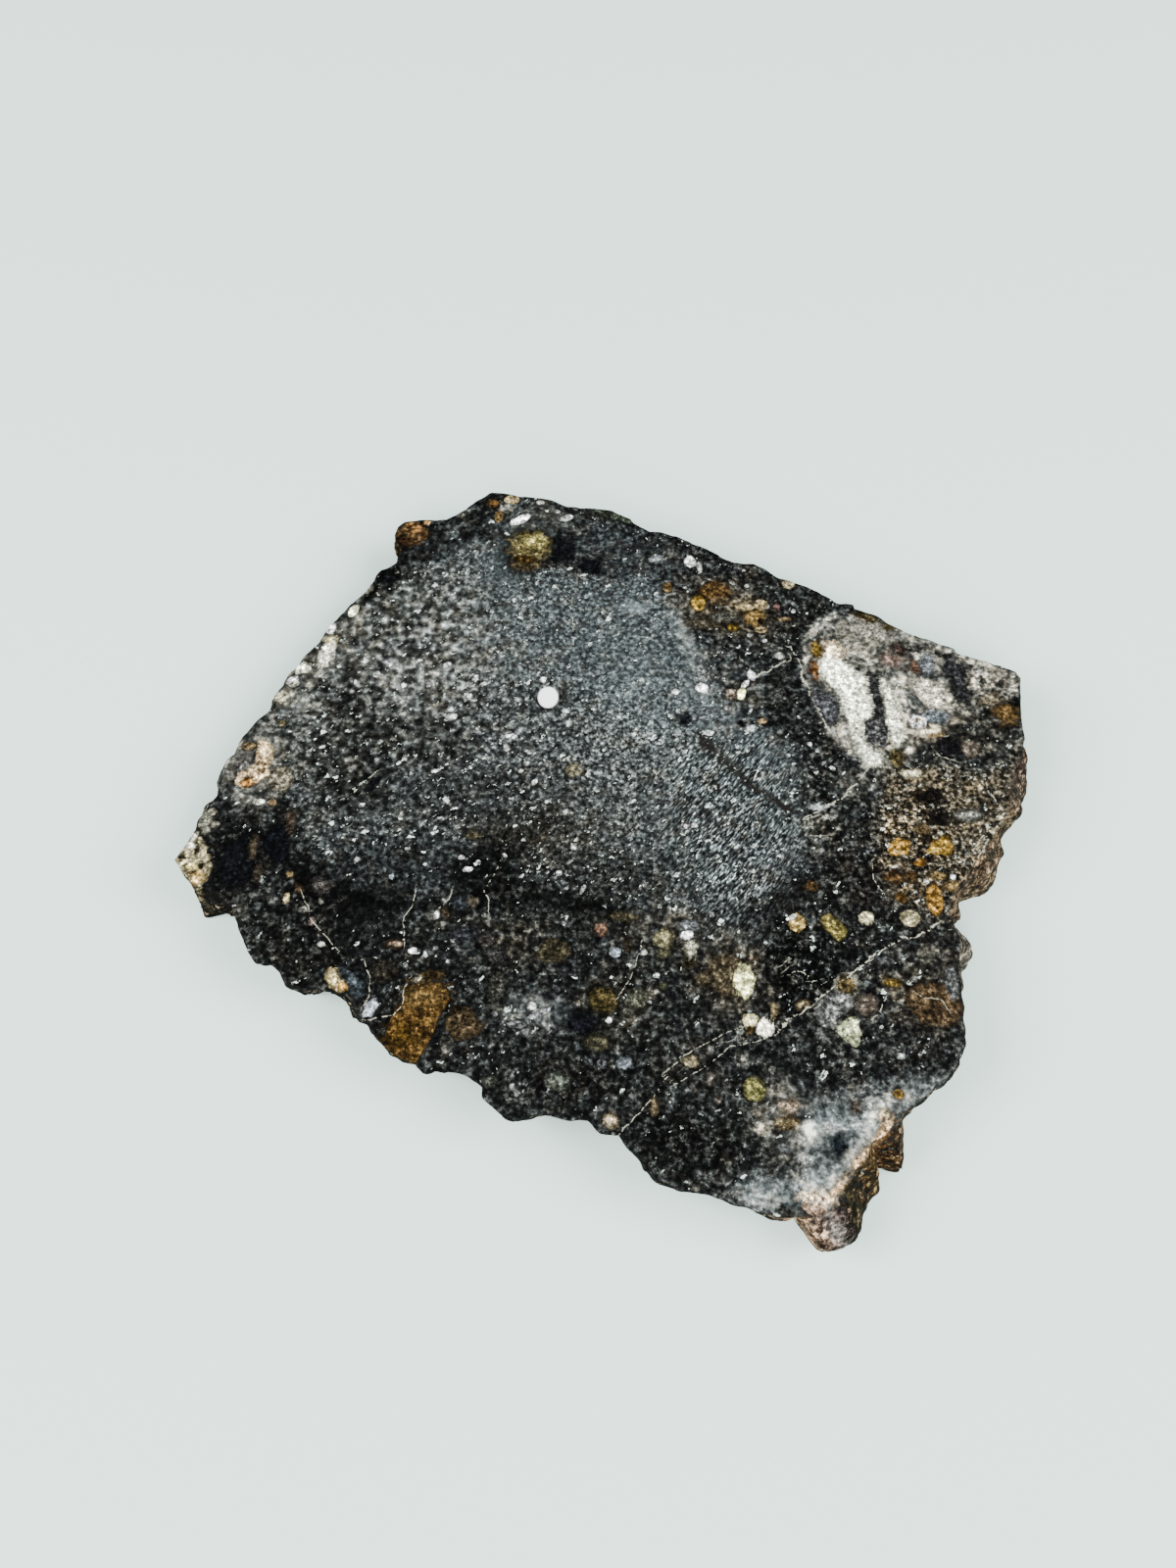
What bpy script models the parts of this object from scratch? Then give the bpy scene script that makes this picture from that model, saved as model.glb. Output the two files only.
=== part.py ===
"""A thin sawn slice of a dark brecciated aubrite meteorite, lying on its flat back.

The upper face and the back are two parallel saw cuts. The rim between them is the broken
outside of the stone: it slopes outwards on the right and at the near right tip, carries
small shelves at three corners, and is undercut along the near edge.
Sizes are in millimetres until the mesh is made in metres. Origin: centre of the back.
"""
import bmesh
import bpy
import numpy as np

NAME = "meteorite_slice"
MM = 0.001

THICKNESS = 3.5          # between the two saw cuts
COLUMN_SPACING = 0.39    # along the rim
CENTRE = (1.0, -1.0)     # the outline is star-shaped about this point
SHIFT = (-1.747, 1.918)  # moves the outline's frame to the middle of the slice

# The edge of the upper face, clockwise, side by side: far, right, near, left.
FAR_EDGE = [
    (-11.95, 16.95), (-12.4, 17.5), (-12.5, 18.1), (-12.3, 18.65), (-11.9, 19.05),
    (-10.9, 19.2), (-9.2, 19.2),
    (-7.9, 20.1), (-7.0, 21.0), (-6.4, 21.5), (-5.5, 21.35), (-4.0, 21.1), (-2.3, 20.9),
    (-1.35, 20.3), (0.4, 20.1), (1.5, 20.0), (2.75, 19.3), (3.0, 18.9), (3.95, 18.3),
    (4.55, 18.3), (6.55, 17.6), (7.0, 17.2), (8.0, 16.55), (9.2, 15.8), (10.6, 15.7),
    (12.1, 14.7), (13.2, 14.25), (15.0, 13.1), (15.5, 12.7), (16.55, 12.5), (16.6, 12.2),
    (18.0, 11.7), (19.0, 10.9), (20.5, 10.1), (22.45, 9.3), (22.6, 8.95), (24.5, 8.3),
    (25.95, 7.6), (26.25, 7.2),
]
RIGHT_EDGE = [
    (26.1, 6.35), (25.8, 4.5), (25.85, 3.0), (25.6, 2.1), (25.1, 1.2), (24.6, 0.4),
    (24.4, -0.5), (24.3, -1.4), (23.9, -2.25), (23.05, -3.5), (21.5, -5.0), (20.9, -5.9),
    (20.05, -7.3), (19.95, -8.0), (20.28, -9.2), (20.28, -9.9), (20.05, -10.7), (20.15, -11.8),
    (20.05, -12.9), (20.1, -13.4), (19.95, -14.0), (20.0, -14.6), (19.63, -15.9), (19.12, -16.7),
    (18.33, -17.37), (17.13, -18.3), (16.1, -18.95), (15.85, -19.4), (14.5, -20.4), (13.2, -22.0),
    (12.2, -23.2), (11.9, -23.7),
]
NEAR_EDGE = [
    (11.4, -24.0), (10.6, -24.1), (9.4, -24.0), (8.07, -23.74), (6.0, -23.0), (4.83, -22.8),
    (3.4, -22.1), (2.9, -21.7), (1.83, -20.5), (1.56, -20.05), (0.63, -19.97), (0.0, -19.4),
    (-0.94, -19.3), (-2.6, -18.95), (-3.9, -19.35), (-4.83, -18.86), (-5.44, -18.15),
    (-5.44, -17.6), (-6.2, -17.06), (-7.5, -16.8), (-8.6, -16.9), (-9.0, -16.45),
    (-10.3, -15.85), (-11.2, -15.05), (-12.05, -14.1), (-12.6, -13.1), (-13.0, -12.6),
    (-14.5, -12.35), (-15.5, -12.4), (-16.35, -11.87), (-16.63, -11.4), (-17.1, -11.04),
    (-17.93, -10.96), (-18.6, -10.25), (-19.45, -8.44), (-19.55, -7.9),
]
LEFT_EDGE = [
    (-19.9, -7.4), (-20.65, -6.75), (-21.35, -6.5), (-21.9, -6.5), (-22.45, -5.7),
    (-23.35, -4.8), (-22.75, -3.75), (-22.15, -2.4), (-21.85, -1.3), (-21.4, -0.7),
    (-21.4, 0.46), (-21.15, 1.57), (-20.85, 1.94), (-20.46, 3.15), (-19.63, 4.3),
    (-18.94, 5.0), (-18.8, 6.15), (-18.4, 6.8), (-18.0, 7.3), (-17.5, 8.5), (-16.65, 9.6),
    (-16.0, 10.9), (-15.1, 12.3), (-13.85, 13.75), (-13.4, 14.8), (-13.15, 15.25),
    (-12.7, 15.4), (-12.2, 15.85), (-12.0, 16.4),
]

# How far the rim stands outside the face's edge, by bearing about CENTRE (degrees, anticlockwise
# from +X): at the shelf (a quarter of the way down), at the middle, and at the back's edge.
RIM_SLOPE = [
    (0, 0.9, 1.2, 0.9), (3, 0.8, 1.4, 1.9), (7, 0.4, 0.9, 1.3), (18, 0.0, -0.2, -0.4),
    (30, 0.1, 0.2, -0.1), (49, 0.1, 0.3, 0.2), (70, -0.1, 0.3, 0.5), (86, 0.4, 0.6, 0.5),
    (94, 0.2, 0.4, 0.1), (108, 0.1, 0.2, -0.3), (122, 0.15, 0.3, 0.1), (127, 0.0, 0.1, -0.1),
    (139, 0.5, 0.7, 0.5), (150, 0.4, 0.6, 0.4), (159, 0.6, 0.8, 0.7), (166, 0.2, 0.4, 0.6),
    (175, 0.5, 0.6, 0.5), (181, 0.5, 0.7, 0.5), (186, 0.2, 0.2, -0.3), (190, -0.2, -0.4, -1.0),
    (193, 0.0, 0.1, 0.2), (195, 0.1, 0.1, 0.0), (196, -0.2, -0.6, -1.0), (197, -0.6, -1.3, -1.8),
    (199, -0.8, -1.5, -2.0), (212, -0.1, -0.5, -0.9), (217, -0.3, -0.8, -1.1),
    (221, 0.5, 0.5, 0.4), (225, -0.1, -0.3, -0.7), (240, -0.1, -0.6, -1.2),
    (259, -0.3, -0.9, -1.5), (272, -0.1, -0.7, -1.4), (286, -0.1, -0.6, -1.1),
    (292, -0.1, -0.5, -0.9), (293, 0.2, 0.0, -0.4), (294, 1.7, 1.5, 0.8), (296, 2.0, 2.1, 1.5),
    (298, 1.2, 1.9, 1.9),
    (301, 0.5, 1.2, 1.6), (303, 0.6, 1.2, 1.6), (305, 0.0, 0.5, 0.9), (307, 0.7, 1.5, 1.8),
    (311, 0.1, 0.1, 0.0), (318, 0.0, -0.1, -0.2), (325, 0.0, 0.2, 0.4), (331, 0.3, 0.5, 0.7),
    (334, 0.2, 0.6, 0.8), (337, 0.8, 1.4, 1.7), (339, 0.3, 0.8, 1.1), (341, -0.2, 0.2, 0.5),
    (344, 0.2, 0.8, 1.1), (346, 0.3, 0.5, 0.3), (348, 0.7, 1.0, 0.8), (351, 0.9, 1.4, 1.5),
    (354, 0.3, 0.9, 1.5), (356, -0.1, 0.5, 1.3), (358, 0.1, 0.4, 0.6),
]
SLOPE_DEPTHS = (0.0, 0.25, 0.6, 1.0)   # shares of the thickness that the slopes above belong to
ROW_DEPTHS = (0.0, 0.09, 0.2, 0.33, 0.46, 0.6, 0.74, 0.88, 1.0)

NORMAL_SPAN = 3.2        # length of rim over which its outward direction is averaged
LUMPS = [(3.1, 0.34, 11), (1.3, 0.27, 23), (0.7, 0.12, 37)]   # size, height, seed of each set
LUMPS_START = 0.25       # depth at which the lumps reach their full height
LUMPS_FADE = 0.35        # share of their height lost at the back's edge
ROW_WAVE = (1.7, 0.12, 41)   # size, height and seed of the rows' ups and downs


def value_noise(points, size, seed):
    """Smooth noise from -1 to 1: random values on a cubic lattice, blended inside each cell."""
    q = np.asarray(points) / size
    cell = np.floor(q).astype(np.int64)
    t = q - cell
    t = t * t * (3.0 - 2.0 * t)
    total = np.zeros(len(q))
    for dx in (0, 1):
        for dy in (0, 1):
            for dz in (0, 1):
                corner = cell + (dx, dy, dz)
                h = corner @ np.array([374761393, 668265263, 1274126177]) + seed * 974634777
                h = (h ^ (h >> 13)) * 1103515245 & 0x7FFFFFFF
                value = ((h ^ (h >> 16)) & 0xFFFF) / 32767.5 - 1.0
                weight = np.prod(np.where((dx, dy, dz), t, 1.0 - t), axis=1)
                total += value * weight
    return total


def even_points(corners, spacing):
    """The closed outline through the corners, as points the same distance apart."""
    loop = np.array(corners + corners[:1])
    run = np.concatenate([[0.0], np.cumsum(np.hypot(*np.diff(loop, axis=0).T))])
    count = round(run[-1] / spacing)
    at = np.arange(count) * run[-1] / count
    return np.column_stack([np.interp(at, run, loop[:, 0]), np.interp(at, run, loop[:, 1])])


def outward(outline):
    """Outward directions across the outline, averaged over NORMAL_SPAN of its length."""
    half = round(NORMAL_SPAN / COLUMN_SPACING / 2)
    total = np.zeros_like(outline)
    for step in range(1, half + 1):
        chord = np.roll(outline, -step, axis=0) - np.roll(outline, step, axis=0)
        total += np.column_stack([-chord[:, 1], chord[:, 0]]) / step
    return total / np.linalg.norm(total, axis=1)[:, None]


def rim_offsets(outline):
    """For each column, the offsets of RIM_SLOPE at that bearing: one for each of SLOPE_DEPTHS."""
    bearing = np.degrees(np.arctan2(outline[:, 1] - CENTRE[1], outline[:, 0] - CENTRE[0])) % 360
    keys = np.array(RIM_SLOPE)
    columns = [np.interp(bearing, keys[:, 0], keys[:, k], period=360) for k in (1, 2, 3)]
    return np.column_stack([np.zeros(len(outline))] + columns)


def rim_rows(outline):
    """Rings of points from the face's edge down to the back's edge, in millimetres."""
    normal = outward(outline)
    offsets = rim_offsets(outline)
    wave_size, wave_height, wave_seed = ROW_WAVE
    rows = []
    for depth in ROW_DEPTHS:
        slope = np.array([np.interp(depth, SLOPE_DEPTHS, column) for column in offsets])
        z = np.full(len(outline), THICKNESS * (1.0 - depth))
        base = np.column_stack([outline + normal * slope[:, None], z])
        relief = sum(height * value_noise(base, size, seed) for size, height, seed in LUMPS)
        relief *= min(1.0, depth / LUMPS_START) * (1.0 - LUMPS_FADE * depth)
        base[:, :2] += normal * relief[:, None]
        if 0.0 < depth < 1.0:
            base[:, 2] += wave_height * value_noise(base, wave_size, wave_seed)
        rows.append(base)
    return rows


def build_slice():
    """One closed solid: two flat caps and the lofted rim between them."""
    outline = even_points(FAR_EDGE + RIGHT_EDGE + NEAR_EDGE + LEFT_EDGE, COLUMN_SPACING)
    bm = bmesh.new()
    rings = []
    for row in rim_rows(outline):
        row[:, 0] += SHIFT[0]
        row[:, 1] += SHIFT[1]
        rings.append([bm.verts.new(point * MM) for point in row])
    count = len(outline)
    for upper, lower in zip(rings, rings[1:]):
        for i in range(count):
            j = (i + 1) % count
            bm.faces.new((upper[i], upper[j], lower[j], lower[i]))
    bm.faces.new(rings[0])
    bm.faces.new(rings[-1])
    bmesh.ops.recalc_face_normals(bm, faces=bm.faces)
    bmesh.ops.triangulate(bm, faces=bm.faces)
    mesh = bpy.data.meshes.new(NAME)
    bm.to_mesh(mesh)
    bm.free()
    return mesh


def stone_material():
    """Dark, finely ground stone: near-black matrix with a low satin shine."""
    material = bpy.data.materials.new("ground_breccia")
    material.use_nodes = True
    shader = material.node_tree.nodes["Principled BSDF"]
    shader.inputs["Base Color"].default_value = (0.045, 0.048, 0.048, 1.0)
    shader.inputs["Roughness"].default_value = 0.5
    shader.inputs["Metallic"].default_value = 0.0
    return material


def main():
    for old in list(bpy.data.objects):
        bpy.data.objects.remove(old)
    collection = bpy.data.collections.new("aubrite_slice")
    bpy.context.scene.collection.children.link(collection)
    stone = bpy.data.objects.new(NAME, build_slice())
    stone.data.materials.append(stone_material())
    collection.objects.link(stone)


main()
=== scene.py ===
from math import cos, radians, sin

import bpy
import numpy as np
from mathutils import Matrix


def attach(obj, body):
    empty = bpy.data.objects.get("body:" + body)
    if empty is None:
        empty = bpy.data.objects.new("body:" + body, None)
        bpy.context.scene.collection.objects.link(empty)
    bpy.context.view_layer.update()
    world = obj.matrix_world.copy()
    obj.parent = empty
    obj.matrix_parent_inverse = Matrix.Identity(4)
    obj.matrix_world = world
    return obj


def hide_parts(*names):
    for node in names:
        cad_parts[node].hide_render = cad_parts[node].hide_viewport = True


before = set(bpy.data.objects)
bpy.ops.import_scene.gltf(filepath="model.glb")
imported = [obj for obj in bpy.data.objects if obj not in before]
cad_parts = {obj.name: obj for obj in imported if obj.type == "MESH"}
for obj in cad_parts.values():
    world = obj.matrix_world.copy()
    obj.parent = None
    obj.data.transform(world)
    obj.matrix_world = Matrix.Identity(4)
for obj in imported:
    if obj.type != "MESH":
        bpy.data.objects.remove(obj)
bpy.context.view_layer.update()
print("frame loaded")

mm = 0.001   # everything on the stone is worked out in millimetres

# The slice: two saw cuts with a broken rim between them
sliceShape = {
    "thickness": 3.5,
    "centre": (1.0, -1.0),          # the outline is star-shaped about this point
    "shift": (-1.747, 1.918),       # from the outline's frame to the middle of the slice
    "gridSide": 256,                # points along one side of the face's grid
    "rimRows": 18,
    "backRings": 6,
    "normalSpan": 3.2,              # length of rim over which its outward direction is averaged
    "lumps": [(3.1, 0.34, 11), (1.3, 0.27, 23), (0.7, 0.12, 37)],   # size, height, seed
    "grit": [(0.42, 0.085, 51), (0.24, 0.05, 63)],                  # the same, finer than the solid's
    "edgeChips": [(1.1, 0.09, 71), (0.45, 0.06, 73)],               # ragged line of the face's edge
}

# The edge of the upper face, clockwise, side by side
farEdge = [
    (-11.95, 16.95), (-12.4, 17.5), (-12.5, 18.1), (-12.3, 18.65), (-11.9, 19.05),
    (-10.9, 19.2), (-9.2, 19.2),
    (-7.9, 20.1), (-7.0, 21.0), (-6.4, 21.5), (-5.5, 21.35), (-4.0, 21.1), (-2.3, 20.9),
    (-1.35, 20.3), (0.4, 20.1), (1.5, 20.0), (2.75, 19.3), (3.0, 18.9), (3.95, 18.3),
    (4.55, 18.3), (6.55, 17.6), (7.0, 17.2), (8.0, 16.55), (9.2, 15.8), (10.6, 15.7),
    (12.1, 14.7), (13.2, 14.25), (15.0, 13.1), (15.5, 12.7), (16.55, 12.5), (16.6, 12.2),
    (18.0, 11.7), (19.0, 10.9), (20.5, 10.1), (22.45, 9.3), (22.6, 8.95), (24.5, 8.3),
    (25.95, 7.6), (26.25, 7.2),
]
rightEdge = [
    (26.1, 6.35), (25.8, 4.5), (25.85, 3.0), (25.6, 2.1), (25.1, 1.2), (24.6, 0.4),
    (24.4, -0.5), (24.3, -1.4), (23.9, -2.25), (23.05, -3.5), (21.5, -5.0), (20.9, -5.9),
    (20.05, -7.3), (19.95, -8.0), (20.28, -9.2), (20.28, -9.9), (20.05, -10.7), (20.15, -11.8),
    (20.05, -12.9), (20.1, -13.4), (19.95, -14.0), (20.0, -14.6), (19.63, -15.9), (19.12, -16.7),
    (18.33, -17.37), (17.13, -18.3), (16.1, -18.95), (15.85, -19.4), (14.5, -20.4), (13.2, -22.0),
    (12.2, -23.2), (11.9, -23.7),
]
nearEdge = [
    (11.4, -24.0), (10.6, -24.1), (9.4, -24.0), (8.07, -23.74), (6.0, -23.0), (4.83, -22.8),
    (3.4, -22.1), (2.9, -21.7), (1.83, -20.5), (1.56, -20.05), (0.63, -19.97), (0.0, -19.4),
    (-0.94, -19.3), (-2.6, -18.95), (-3.9, -19.35), (-4.83, -18.86), (-5.44, -18.15),
    (-5.44, -17.6), (-6.2, -17.06), (-7.5, -16.8), (-8.6, -16.9), (-9.0, -16.45),
    (-10.3, -15.85), (-11.2, -15.05), (-12.05, -14.1), (-12.6, -13.1), (-13.0, -12.6),
    (-14.5, -12.35), (-15.5, -12.4), (-16.35, -11.87), (-16.63, -11.4), (-17.1, -11.04),
    (-17.93, -10.96), (-18.6, -10.25), (-19.45, -8.44), (-19.55, -7.9),
]
leftEdge = [
    (-19.9, -7.4), (-20.65, -6.75), (-21.35, -6.5), (-21.9, -6.5), (-22.45, -5.7),
    (-23.35, -4.8), (-22.75, -3.75), (-22.15, -2.4), (-21.85, -1.3), (-21.4, -0.7),
    (-21.4, 0.46), (-21.15, 1.57), (-20.85, 1.94), (-20.46, 3.15), (-19.63, 4.3),
    (-18.94, 5.0), (-18.8, 6.15), (-18.4, 6.8), (-18.0, 7.3), (-17.5, 8.5), (-16.65, 9.6),
    (-16.0, 10.9), (-15.1, 12.3), (-13.85, 13.75), (-13.4, 14.8), (-13.15, 15.25),
    (-12.7, 15.4), (-12.2, 15.85), (-12.0, 16.4),
]

# How far the rim stands outside the face's edge, by bearing about the centre (degrees,
# anticlockwise from +X): a quarter of the way down, in the middle, and at the back's edge
rimSlope = [
    (0, 0.9, 1.2, 0.9), (3, 0.8, 1.4, 1.9), (7, 0.4, 0.9, 1.3), (18, 0.0, -0.2, -0.4),
    (30, 0.1, 0.2, -0.1), (49, 0.1, 0.3, 0.2), (70, -0.1, 0.3, 0.5), (86, 0.4, 0.6, 0.5),
    (94, 0.2, 0.4, 0.1), (108, 0.1, 0.2, -0.3), (122, 0.15, 0.3, 0.1), (127, 0.0, 0.1, -0.1),
    (139, 0.5, 0.7, 0.5), (150, 0.4, 0.6, 0.4), (159, 0.6, 0.8, 0.7), (166, 0.2, 0.4, 0.6),
    (175, 0.5, 0.6, 0.5), (181, 0.5, 0.7, 0.5), (186, 0.2, 0.2, -0.3), (190, -0.2, -0.4, -1.0),
    (193, 0.0, 0.1, 0.2), (195, 0.1, 0.1, 0.0), (196, -0.2, -0.6, -1.0), (197, -0.6, -1.3, -1.8),
    (199, -0.8, -1.5, -2.0), (212, -0.1, -0.5, -0.9), (217, -0.3, -0.8, -1.1),
    (221, 0.5, 0.5, 0.4), (225, -0.1, -0.3, -0.7), (240, -0.1, -0.6, -1.2),
    (259, -0.3, -0.9, -1.5), (272, -0.1, -0.7, -1.4), (286, -0.1, -0.6, -1.1),
    (292, -0.1, -0.5, -0.9), (293, 0.2, 0.0, -0.4), (294, 1.7, 1.5, 0.8), (296, 2.0, 2.1, 1.5),
    (298, 1.2, 1.9, 1.9),
    (301, 0.5, 1.2, 1.6), (303, 0.6, 1.2, 1.6), (305, 0.0, 0.5, 0.9), (307, 0.7, 1.5, 1.8),
    (311, 0.1, 0.1, 0.0), (318, 0.0, -0.1, -0.2), (325, 0.0, 0.2, 0.4), (331, 0.3, 0.5, 0.7),
    (334, 0.2, 0.6, 0.8), (337, 0.8, 1.4, 1.7), (339, 0.3, 0.8, 1.1), (341, -0.2, 0.2, 0.5),
    (344, 0.2, 0.8, 1.1), (346, 0.3, 0.5, 0.3), (348, 0.7, 1.0, 0.8), (351, 0.9, 1.4, 1.5),
    (354, 0.3, 0.9, 1.5), (356, -0.1, 0.5, 1.3), (358, 0.1, 0.4, 0.6),
]
slopeDepths = (0.0, 0.25, 0.6, 1.0)


def valueNoise(points, size, seed):
    # Random values from -1 to 1 on a cubic lattice of the given size, blended smoothly in each cell
    q = np.asarray(points) / size
    cell = np.floor(q).astype(np.int64)
    t = q - cell
    t = t * t * (3.0 - 2.0 * t)
    total = np.zeros(len(q))
    for dx in (0, 1):
        for dy in (0, 1):
            for dz in (0, 1):
                corner = cell + (dx, dy, dz)
                h = corner @ np.array([374761393, 668265263, 1274126177]) + seed * 974634777
                h = (h ^ (h >> 13)) * 1103515245 & 0x7FFFFFFF
                value = ((h ^ (h >> 16)) & 0xFFFF) / 32767.5 - 1.0
                weight = np.prod(np.where((dx, dy, dz), t, 1.0 - t), axis=1)
                total += value * weight
    return total


def evenPoints(corners, count):
    # The closed outline through the corners, as count points the same distance apart
    loop = np.array(corners + corners[:1])
    run = np.concatenate([[0.0], np.cumsum(np.hypot(*np.diff(loop, axis=0).T))])
    at = np.arange(count) * run[-1] / count
    return np.column_stack([np.interp(at, run, loop[:, 0]), np.interp(at, run, loop[:, 1])]), run[-1]


def outward(outline, half):
    # Outward direction: the chords over 1 to half columns on both sides, averaged and turned a quarter
    total = np.zeros_like(outline)
    for step in range(1, half + 1):
        chord = np.roll(outline, -step, axis=0) - np.roll(outline, step, axis=0)
        total += np.column_stack([-chord[:, 1], chord[:, 0]]) / step
    return total / np.linalg.norm(total, axis=1)[:, None]


def rimSurface(outline, normal, shape):
    # Point (column, depth) = outline + normal * (slope by bearing + lumps + grit), depth below the face
    dx, dy = (outline - shape["centre"]).T
    bearing = np.degrees(np.arctan2(dy, dx)) % 360
    keys = np.array(rimSlope)
    slopes = [np.interp(bearing, keys[:, 0], keys[:, k], period=360) for k in (1, 2, 3)]
    slopes = np.column_stack([np.zeros(len(outline))] + slopes)
    rows = []
    for depth in np.linspace(0.0, 1.0, shape["rimRows"] + 1):
        slope = np.array([np.interp(depth, slopeDepths, column) for column in slopes])
        z = np.full(len(outline), shape["thickness"] * (1.0 - depth))
        base = np.column_stack([outline + normal * slope[:, None], z])
        relief = sum(height * valueNoise(base, size, seed) for size, height, seed in shape["lumps"])
        relief *= min(1.0, depth / 0.25) * (1.0 - 0.35 * depth)
        grit = sum(height * valueNoise(base, size, seed) for size, height, seed in shape["grit"])
        relief += grit * min(1.0, depth / 0.1)
        base[:, :2] += normal * relief[:, None]
        if 0.0 < depth < 1.0:
            base[:, 2] += 0.12 * valueNoise(base, 1.7, 41) * min(1.0, (1.0 - depth) / 0.12, depth / 0.06)
        rows.append(base)
    return np.array(rows)


def buildSlice(shape):
    # Face: square grid (u, v) squeezed onto the outline, point = centre + max(|u|, |v|) * (edge - centre)
    side = shape["gridSide"]
    columns = 4 * (side - 1)
    outline, length = evenPoints(farEdge + rightEdge + nearEdge + leftEdge, columns)
    normal = outward(outline, round(shape["normalSpan"] * columns / length / 2))
    flat = np.column_stack([outline, np.full(columns, shape["thickness"])])
    chips = sum(height * valueNoise(flat, size, seed) for size, height, seed in shape["edgeChips"])
    outline = outline + normal * chips[:, None]

    span = np.linspace(-1.0, 1.0, side)
    u, v = (a.ravel() for a in np.meshgrid(span, span))
    reach = np.maximum(np.abs(u), np.abs(v))
    safe = np.maximum(reach, 1e-9)
    a, b = u / safe, v / safe
    sides = [b > 1 - 1e-9, a > 1 - 1e-9, b < -1 + 1e-9]
    along = np.select(sides, [(a + 1) / 2, (3 - b) / 2, (5 - a) / 2], (7 + b) / 2) * (side - 1)
    low = np.floor(along + 1e-6).astype(int)
    part = (along - low)[:, None]
    edge = outline[low % columns] * (1 - part) + outline[(low + 1) % columns] * part
    centre = np.array(shape["centre"])
    face = centre + reach[:, None] * (edge - centre)
    face = np.column_stack([face, np.full(len(face), shape["thickness"])])

    index = np.arange(side * side).reshape(side, side)
    ring = np.concatenate([index[-1, :-1], index[:0:-1, -1], index[0, :0:-1], index[:-1, 0]])
    quads = [np.column_stack([index[:-1, :-1].ravel(), index[:-1, 1:].ravel(),
                              index[1:, 1:].ravel(), index[1:, :-1].ravel()])]

    rim = rimSurface(outline, normal, shape)
    points = [face]
    rings = [ring]
    start = len(face)
    for row in rim[1:]:
        points.append(row)
        rings.append(start + np.arange(columns))
        start += columns
    back = rim[-1][:, :2]
    for k in range(1, shape["backRings"]):
        inner = centre + (back - centre) * (1 - k / shape["backRings"])
        points.append(np.column_stack([inner, np.zeros(columns)]))
        rings.append(start + np.arange(columns))
        start += columns
    points.append(np.array([[centre[0], centre[1], 0.0]]))
    for upper, lower in zip(rings, rings[1:]):
        quads.append(np.column_stack([upper, np.roll(upper, -1), np.roll(lower, -1), lower]))
    last = rings[-1]
    fan = np.column_stack([last, np.roll(last, -1), np.full(columns, start)])
    return np.concatenate(points), np.concatenate(quads), fan


# Pattern of the cut face. Places are in millimetres in the outline's frame, colours as they show

# Whole areas, laid over one another: outline, softness of its border, and the ground there (tone:
# how bright it shows, 0 to 255; spread: contrast of its grain; warm: brown; then blue: the stone's
# blue-grey, and part of the painted sheen in the haze shades; coarse, dash and marble: large
# crystals, smeared crystals and white mottling in place of fine crystals)
groundNames = ("tone", "spread", "warm", "blueAndSheen", "coarse", "dash", "marble", "shards", "specks")
matrix = {"tone": 31, "spread": 0.95, "warm": 0.03, "blueAndSheen": 0.3, "coarse": 0.4, "dash": 0.0,
          "marble": 0.0, "shards": 0.8, "specks": 0.25}
areas = [
    {"outline": [(-18.6, 5), (-17.2, 2), (-17, -2), (-14.5, -6), (-9, -7.4), (-3, -6.4), (4, -7.8),
                 (9.5, -7.4), (12, -5.2), (12.7, -3), (12.3, -1), (12.6, 0.5), (12.1, 2.6), (11, 3.6),
                 (9, 4.6), (8.2, 5.4), (7.6, 6.8), (7.2, 8), (6.8, 9.4), (6.3, 10.6), (5.4, 12.4),
                 (5, 14), (3.4, 15), (1.5, 14.4), (0, 14.6), (-1.4, 15.6), (-5, 15.2), (-5.6, 17.4),
                 (-7.5, 17.4), (-9.5, 16.2), (-11.5, 14.6), (-13.5, 12.8), (-15.2, 10.4), (-16.8, 8)],
     "soft": 0.7, "tone": 80, "spread": 0.85, "warm": 0.0, "blueAndSheen": 0.3, "coarse": 0.2, "dash": 0.0,
     "marble": 0.0, "shards": 0.0, "specks": 1.0},
    {"outline": [(13, 8), (13.2, 9.8), (14, 11.2), (15.5, 12.2), (17.5, 11.7), (19.5, 10.8), (22, 9.6),
                 (24.6, 8.4), (26.2, 7.6), (26, 6), (24.8, 5.4), (23.4, 5), (22.2, 4.2), (21.2, 3.6),
                 (20.2, 3), (19.4, 2.2), (18.6, 1.2), (17.2, 0.6), (16.2, 1), (15.1, 2), (14.2, 3.4),
                 (13.5, 4.8), (13.1, 6.4)],
     "soft": 0.25, "tone": 158, "spread": 1.4, "warm": 0.22, "blueAndSheen": 0.0, "coarse": 0.5, "dash": 0.0,
     "marble": 0.6, "shards": 0.3, "specks": 0.3},
    {"outline": [(11.7, -18.3), (13.5, -17.9), (15.5, -17.5), (17.5, -17.1), (19.4, -17), (18, -18.2),
                 (15.9, -18.9), (15.2, -19.8), (14.2, -20.7), (13.2, -22), (12.3, -22.9), (11.8, -24.2),
                 (10.7, -24.4), (9.5, -24.2), (8.3, -24), (7.5, -23.6), (7.4, -22.8), (8, -22.2),
                 (9, -22.1), (10, -22.5), (10.8, -22), (10.9, -21), (10.7, -19.8), (11.2, -19)],
     "soft": 0.7, "tone": 136, "spread": 1.0, "warm": 0.04, "blueAndSheen": 0.35, "coarse": 0.3, "dash": 0.0,
     "marble": 0.4, "shards": 0.3, "specks": 0.3},
    {"outline": [(17.4, 0.8), (20, 1.2), (23, 0.8), (25.6, 1.6), (25.6, -2), (23.4, -5.4), (20.6, -8.6),
                 (18.6, -8.4), (17, -7.4), (16.4, -5.6), (16.2, -3), (16.8, -1)],
     "soft": 0.9, "tone": 66, "spread": 1.05, "warm": 0.62, "blueAndSheen": 0.0, "coarse": 0.0, "dash": 0.0,
     "marble": 0.1, "shards": 0.8, "specks": 0.7},
]

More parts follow.
